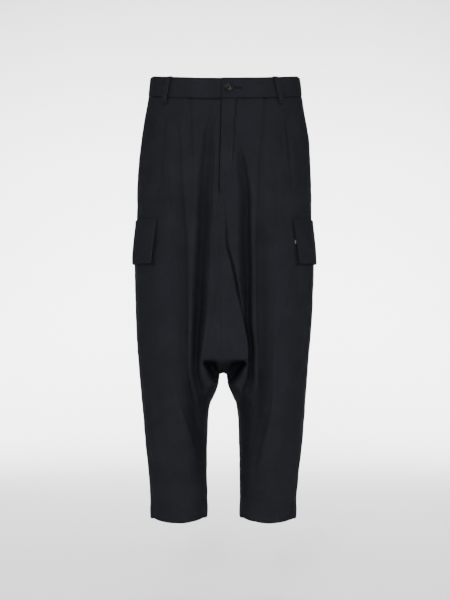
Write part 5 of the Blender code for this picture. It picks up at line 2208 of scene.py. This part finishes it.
# ------------------------------------------------------------------------------ button
@dataclass
class Button:
    """The waist button: a turned disc with a rim and four holes, sewn on with crossed thread.

    Attributes:
        finish: Its finish.
        thread: Its thread.
        place: x and z of its middle.
        hole: The radius of a hole.
        spread: How far the holes lie from its middle.
        profile: Its outline, as radius and height over its underside.
    """

    finish: ButtonFinish
    thread: ThreadFinish
    place: Pair = (0.005, -0.0225)
    hole: float = 0.0009
    spread: float = 0.0021
    profile: tuple[Pair, ...] = (
        (0.0000, 0.0000),
        (0.0072, 0.0000),
        (0.0082, 0.0004),
        (0.0088, 0.0010),
        (0.0090, 0.0017),
        (0.0088, 0.0024),
        (0.0083, 0.0029),
        (0.0076, 0.0031),
        (0.0069, 0.0029),
        (0.0061, 0.0025),
        (0.0052, 0.0021),
        (0.0040, 0.0020),
        (0.0000, 0.0020),
    )

    def disc(self) -> Piece:
        """Turns the disc, lying flat at the origin.

        Returns:
            The object.
        """
        mesh = bmesh.new()
        ring = [mesh.verts.new((radius, 0.0, height)) for radius, height in self.profile]
        edges = [mesh.edges.new((a, b)) for a, b in zip(ring, ring[1:])]
        turn = {"cent": (0, 0, 0), "axis": (0, 0, 1), "angle": 2 * math.pi, "steps": 72}
        bmesh.ops.spin(mesh, geom=ring + edges, use_merge=True, **turn)
        bmesh.ops.remove_doubles(mesh, verts=mesh.verts, dist=1e-6)
        bmesh.ops.recalc_face_normals(mesh, faces=mesh.faces)
        data = bpy.data.meshes.new("button_disc")
        mesh.to_mesh(data)
        mesh.free()
        return place_object("button_disc", data)

    def bore(self, made: Piece) -> bpy.types.Mesh:
        """Cuts the four holes.

        Args:
            made: The disc.

        Returns:
            The disc's new mesh.
        """
        cutters = []
        for k in range(4):
            angle = math.radians(45 + 90 * k)
            bpy.ops.mesh.primitive_cylinder_add(vertices=28, radius=self.hole, depth=0.02)
            cutter = bpy.context.object
            cutter.location = (self.spread * math.cos(angle), self.spread * math.sin(angle), 0.0)
            cut = made.modifiers.new(f"hole_{k}", "BOOLEAN")
            cut.operation = "DIFFERENCE"
            cut.solver = "EXACT"
            cut.object = cutter
            cutters.append(cutter)
        bpy.context.view_layer.update()
        shaped = made.evaluated_get(bpy.context.evaluated_depsgraph_get())
        made_mesh = bpy.data.meshes.new_from_object(shaped)
        made.modifiers.clear()
        made.data = made_mesh
        for cutter in cutters:
            bpy.data.objects.remove(cutter, do_unlink=True)
        return made_mesh

    def build(self) -> list[Piece]:
        """Builds the button and its thread.

        Returns:
            The button, which replaces its solid, and the thread.
        """
        made = self.disc()
        mesh = self.bore(made)
        face_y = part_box("button")[1][1]
        for vertex in mesh.vertices:
            x, up, height = vertex.co
            vertex.co = Vector((self.place[0] + x, face_y - height, self.place[1] + up))
        mesh.update()
        mesh.materials.append(self.finish.material("button"))
        mesh.shade_smooth()
        mesh.set_sharp_from_angle(angle=math.radians(38))
        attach(made, BODY)
        stand_for(made, "button")
        return [made, self.sew(face_y)]

    def sew(self, face_y: float) -> Piece:
        """Builds the crossed threads through the button's holes.

        Args:
            face_y: y of the button's underside.

        Returns:
            The object.
        """
        work = Needlework("button_thread", "button", self.thread, width=0.0006, height=0.0006)
        out = np.array((0.0, -1.0, 0.0))
        middle = np.array((self.place[0], face_y - 0.0020, self.place[1]))
        for layer, turn in enumerate((math.radians(45), math.radians(135))):
            along = np.array((math.cos(turn), 0.0, math.sin(turn)))
            beside = np.cross(along, out)
            for shift in (-0.00045, 0.0, 0.00045):
                spot = middle + beside * shift + out * (0.00025 + 0.0003 * layer)
                work.stitch(spot, along, out, 2 * self.spread + 0.0012)
        return work.build()


# ------------------------------------------------------------------------------ front details
@dataclass
class PocketMouths:
    """The slanted mouths of the side pockets: a row of stitches and a bar tack at each end.

    Attributes:
        thread: Their thread.
        lines: Each mouth's x at its top and at its foot.
        drops: The levels of those ends.
        inset: How far in front of the mouth the stitches run.
    """

    thread: ThreadFinish
    lines: dict[Side, Pair] = field(
        default_factory=lambda: {Side.RIGHT: (-0.1220, -0.1326), Side.LEFT: (0.1200, 0.1326)}
    )
    drops: Pair = (0.081, 0.226)
    inset: float = 0.0062

    def build(self, panel: Panel) -> Piece:
        """Builds the stitches of one mouth.

        Args:
            panel: The front panel that it is cut into.

        Returns:
            The object.
        """
        work = Needlework(f"pocket_mouth_{panel.side.word}", panel.name, self.thread)
        top, foot = self.lines[panel.side]
        spots = []
        for share in np.linspace(0, 1, 50):
            drop = self.drops[0] + (self.drops[1] - self.drops[0]) * share
            near = panel.form.round_at_x(panel.side, panel.face, drop, top + (foot - top) * share)
            spots.append(panel.net.at(near + self.inset, drop))
        work.run(*zip(*spots))
        for drop, x in zip(self.drops, (top, foot)):
            near = panel.form.round_at_x(panel.side, panel.face, drop, x)
            first, out = panel.net.at(near - 0.001, drop)
            work.tack(first, panel.net.at(near + self.inset + 0.001, drop)[0], out, 0.0020)
        return work.build()


# ------------------------------------------------------------------------------ studio
@dataclass
class Lamp:
    """A soft lamp.

    Attributes:
        name: Its name.
        place: Where it stands.
        aim: What it points at.
        size: Its width and height.
        power: Its power.
        spread: The angle in degrees over which it shines.
    """

    name: str
    place: Triple
    aim: Triple
    size: Pair
    power: float
    spread: float = 180.0

    def build(self) -> None:
        """Adds the lamp."""
        data = bpy.data.lights.new(self.name, "AREA")
        data.shape = "RECTANGLE"
        data.size, data.size_y = self.size
        data.energy = self.power
        data.spread = math.radians(self.spread)
        made = place_object(self.name, data)
        made.location = self.place
        made.rotation_euler = (Vector(self.aim) - Vector(self.place)).to_track_quat("-Z", "Y").to_euler()


@dataclass
class Studio:
    """The camera, the pale sweep that the trousers are seen against, and the lamps.

    Attributes:
        eye: Where the camera is.
        lens: Its focal length in millimetres.
        film: The height of its film in millimetres.
        floor: z of the floor.
        half_width: Half the sweep's width.
        run: y of the sweep's front edge and of the place where it starts to curve up.
        bend: The radius of that curve.
        top: The height of its upper edge.
        paper: The sweep's colour.
        sky_colour: The even light's colour.
        sky: The even light's strength.
        lamps: The lamps.
    """

    eye: Triple = (-0.002, -2.1, -0.446)
    lens: float = 60.0
    film: float = 36.0
    floor: float = -1.060
    half_width: float = 7.0
    run: Pair = (-6.0, 2.2)
    bend: float = 1.4
    top: float = 5.0
    paper: Colour = (0.86, 0.86, 0.87)
    sky_colour: Colour = (0.97, 0.98, 1.0)
    sky: float = 0.95
    lamps: tuple[Lamp, ...] = (
        Lamp("key", (-0.5, -2.6, 0.8), (0.0, 0.0, -0.40), (0.9, 0.9), 49.0),
        Lamp("fill", (0.8, -2.6, 0.1), (0.0, 0.0, -0.45), (0.9, 1.2), 29.0),
        Lamp("low", (0.0, -1.7, -1.02), (0.0, 0.0, -0.60), (1.2, 0.3), 19.0),
        Lamp("top", (0.0, -0.9, 1.9), (0.0, 0.2, -0.60), (1.2, 0.8), 6.0),
        Lamp("paper_left", (-2.2, 0.9, 0.4), (-0.4, 3.6, -0.5), (0.8, 1.2), 90.0, 90.0),
        Lamp("paper_right", (2.2, 0.9, 0.4), (0.4, 3.6, -0.5), (0.8, 1.2), 90.0, 90.0),
        Lamp("floor", (0.0, 1.9, 1.9), (0.0, 1.9, -1.0), (2.2, 1.4), 50.0, 100.0),
    )

    def camera(self) -> None:
        """Adds the camera, level and square on to the front."""
        data = bpy.data.cameras.new("camera")
        data.sensor_fit = "VERTICAL"
        data.sensor_height = self.film
        data.lens = self.lens
        made = place_object("camera", data)
        made.location = self.eye
        made.rotation_euler = (math.radians(90), 0.0, 0.0)
        bpy.context.scene.camera = made

    def sweep(self) -> None:
        """Adds the pale floor, which curves up far behind."""
        (front, back), bend = self.run, self.bend
        turns = np.linspace(0.1, math.pi / 2, 16)
        curve = [(front, 0.0), (back, 0.0)]
        curve += [(back + bend * math.sin(turn), bend - bend * math.cos(turn)) for turn in turns]
        curve += [(back + bend, self.top)]
        sides = (-self.half_width, self.half_width)
        points = [(x, y, self.floor + up) for x in sides for y, up in curve]
        count = len(curve)
        faces = [(k, k + 1, count + k + 1, count + k) for k in range(count - 1)]
        data = bpy.data.meshes.new("sweep")
        data.from_pydata(points, [], faces)
        data.shade_smooth()
        paper, wiring, shader = new_material("sweep_paper")
        wiring.feed(shader, {"Base Color": (*self.paper, 1.0), "Roughness": 0.9})
        data.materials.append(paper)
        place_object("sweep", data)

    def build(self) -> None:
        """Adds the camera, the sweep, the even light and the lamps."""
        self.camera()
        self.sweep()
        world = bpy.data.worlds.new("studio")
        world.use_nodes = True
        background = world.node_tree.nodes["Background"]
        background.inputs["Color"].default_value = (*self.sky_colour, 1.0)
        background.inputs["Strength"].default_value = self.sky
        bpy.context.scene.world = world
        for lamp in self.lamps:
            lamp.build()


# ------------------------------------------------------------------------------ the whole
# Each panel's flat width and length, its area, and its set of ripples.
PANEL_CUTS = {
    (Face.FRONT, Side.RIGHT): ((0.330, 0.890), 0.210, 11),
    (Face.FRONT, Side.LEFT): ((0.340, 0.890), 0.215, 23),
    (Face.BACK, Side.RIGHT): ((0.330, 0.905), 0.225, 37),
    (Face.BACK, Side.LEFT): ((0.330, 0.905), 0.225, 53),
}
# x of each flap's front edge at its top and at its foot, and its set of ripples.
FLAPS = {Side.RIGHT: ((-0.138, -0.147), 60), Side.LEFT: ((0.134, 0.145), 62)}
# Each belt loop's half and face, and x of its middle at its top and at its foot.
LOOPS = (
    (Side.RIGHT, Face.FRONT, -0.1145, -0.1215),
    (Side.LEFT, Face.FRONT, 0.1010, 0.1090),
    (Side.RIGHT, Face.BACK, -0.1040, -0.1080),
    (Side.LEFT, Face.BACK, 0.0990, 0.1030),
    (Side.LEFT, Face.BACK, -0.0020, -0.0020),
)
BUTTONHOLE_END = 0.0320


def report(*pieces: Piece) -> None:
    """Logs the pieces that were built."""
    for piece in pieces:
        LOG.info("piece %s", piece.name)


def main() -> None:
    """Builds the whole garment and the studio."""
    logging.basicConfig(level=logging.INFO, format="%(name)s: %(message)s")
    Studio().build()
    form, cloth, thread = TrouserForm(), ClothFinish(), ThreadFinish()
    panels = {}
    for (face, side), cut in PANEL_CUTS.items():
        panels[face, side] = Panel(form, side, face, cloth, *cut)
        report(panels[face, side].build())
    band = Waistband(form, cloth, thread)
    report(*band.build())
    for number, (side, face, top_x, foot_x) in enumerate(LOOPS, start=1):
        report(*BeltLoop(band, number, side, face, top_x, foot_x, cloth, thread).build())
    report(*Fly(form, cloth, thread).build(panels[Face.FRONT, Side.LEFT]))
    mouths = PocketMouths(thread)
    report(*(mouths.build(panels[Face.FRONT, side]) for side in Side))
    flaps = {side: Flap(form, side, cloth, thread, *FLAPS[side]) for side in Side}
    for flap in flaps.values():
        report(*flap.build())
    report(FlapTab(form, TabFinish()).build(flaps[Side.LEFT]))
    button = Button(ButtonFinish(), thread)
    report(*button.build())
    report(band.buttonhole(button.place, BUTTONHOLE_END))


if __name__ == "__main__":
    main()
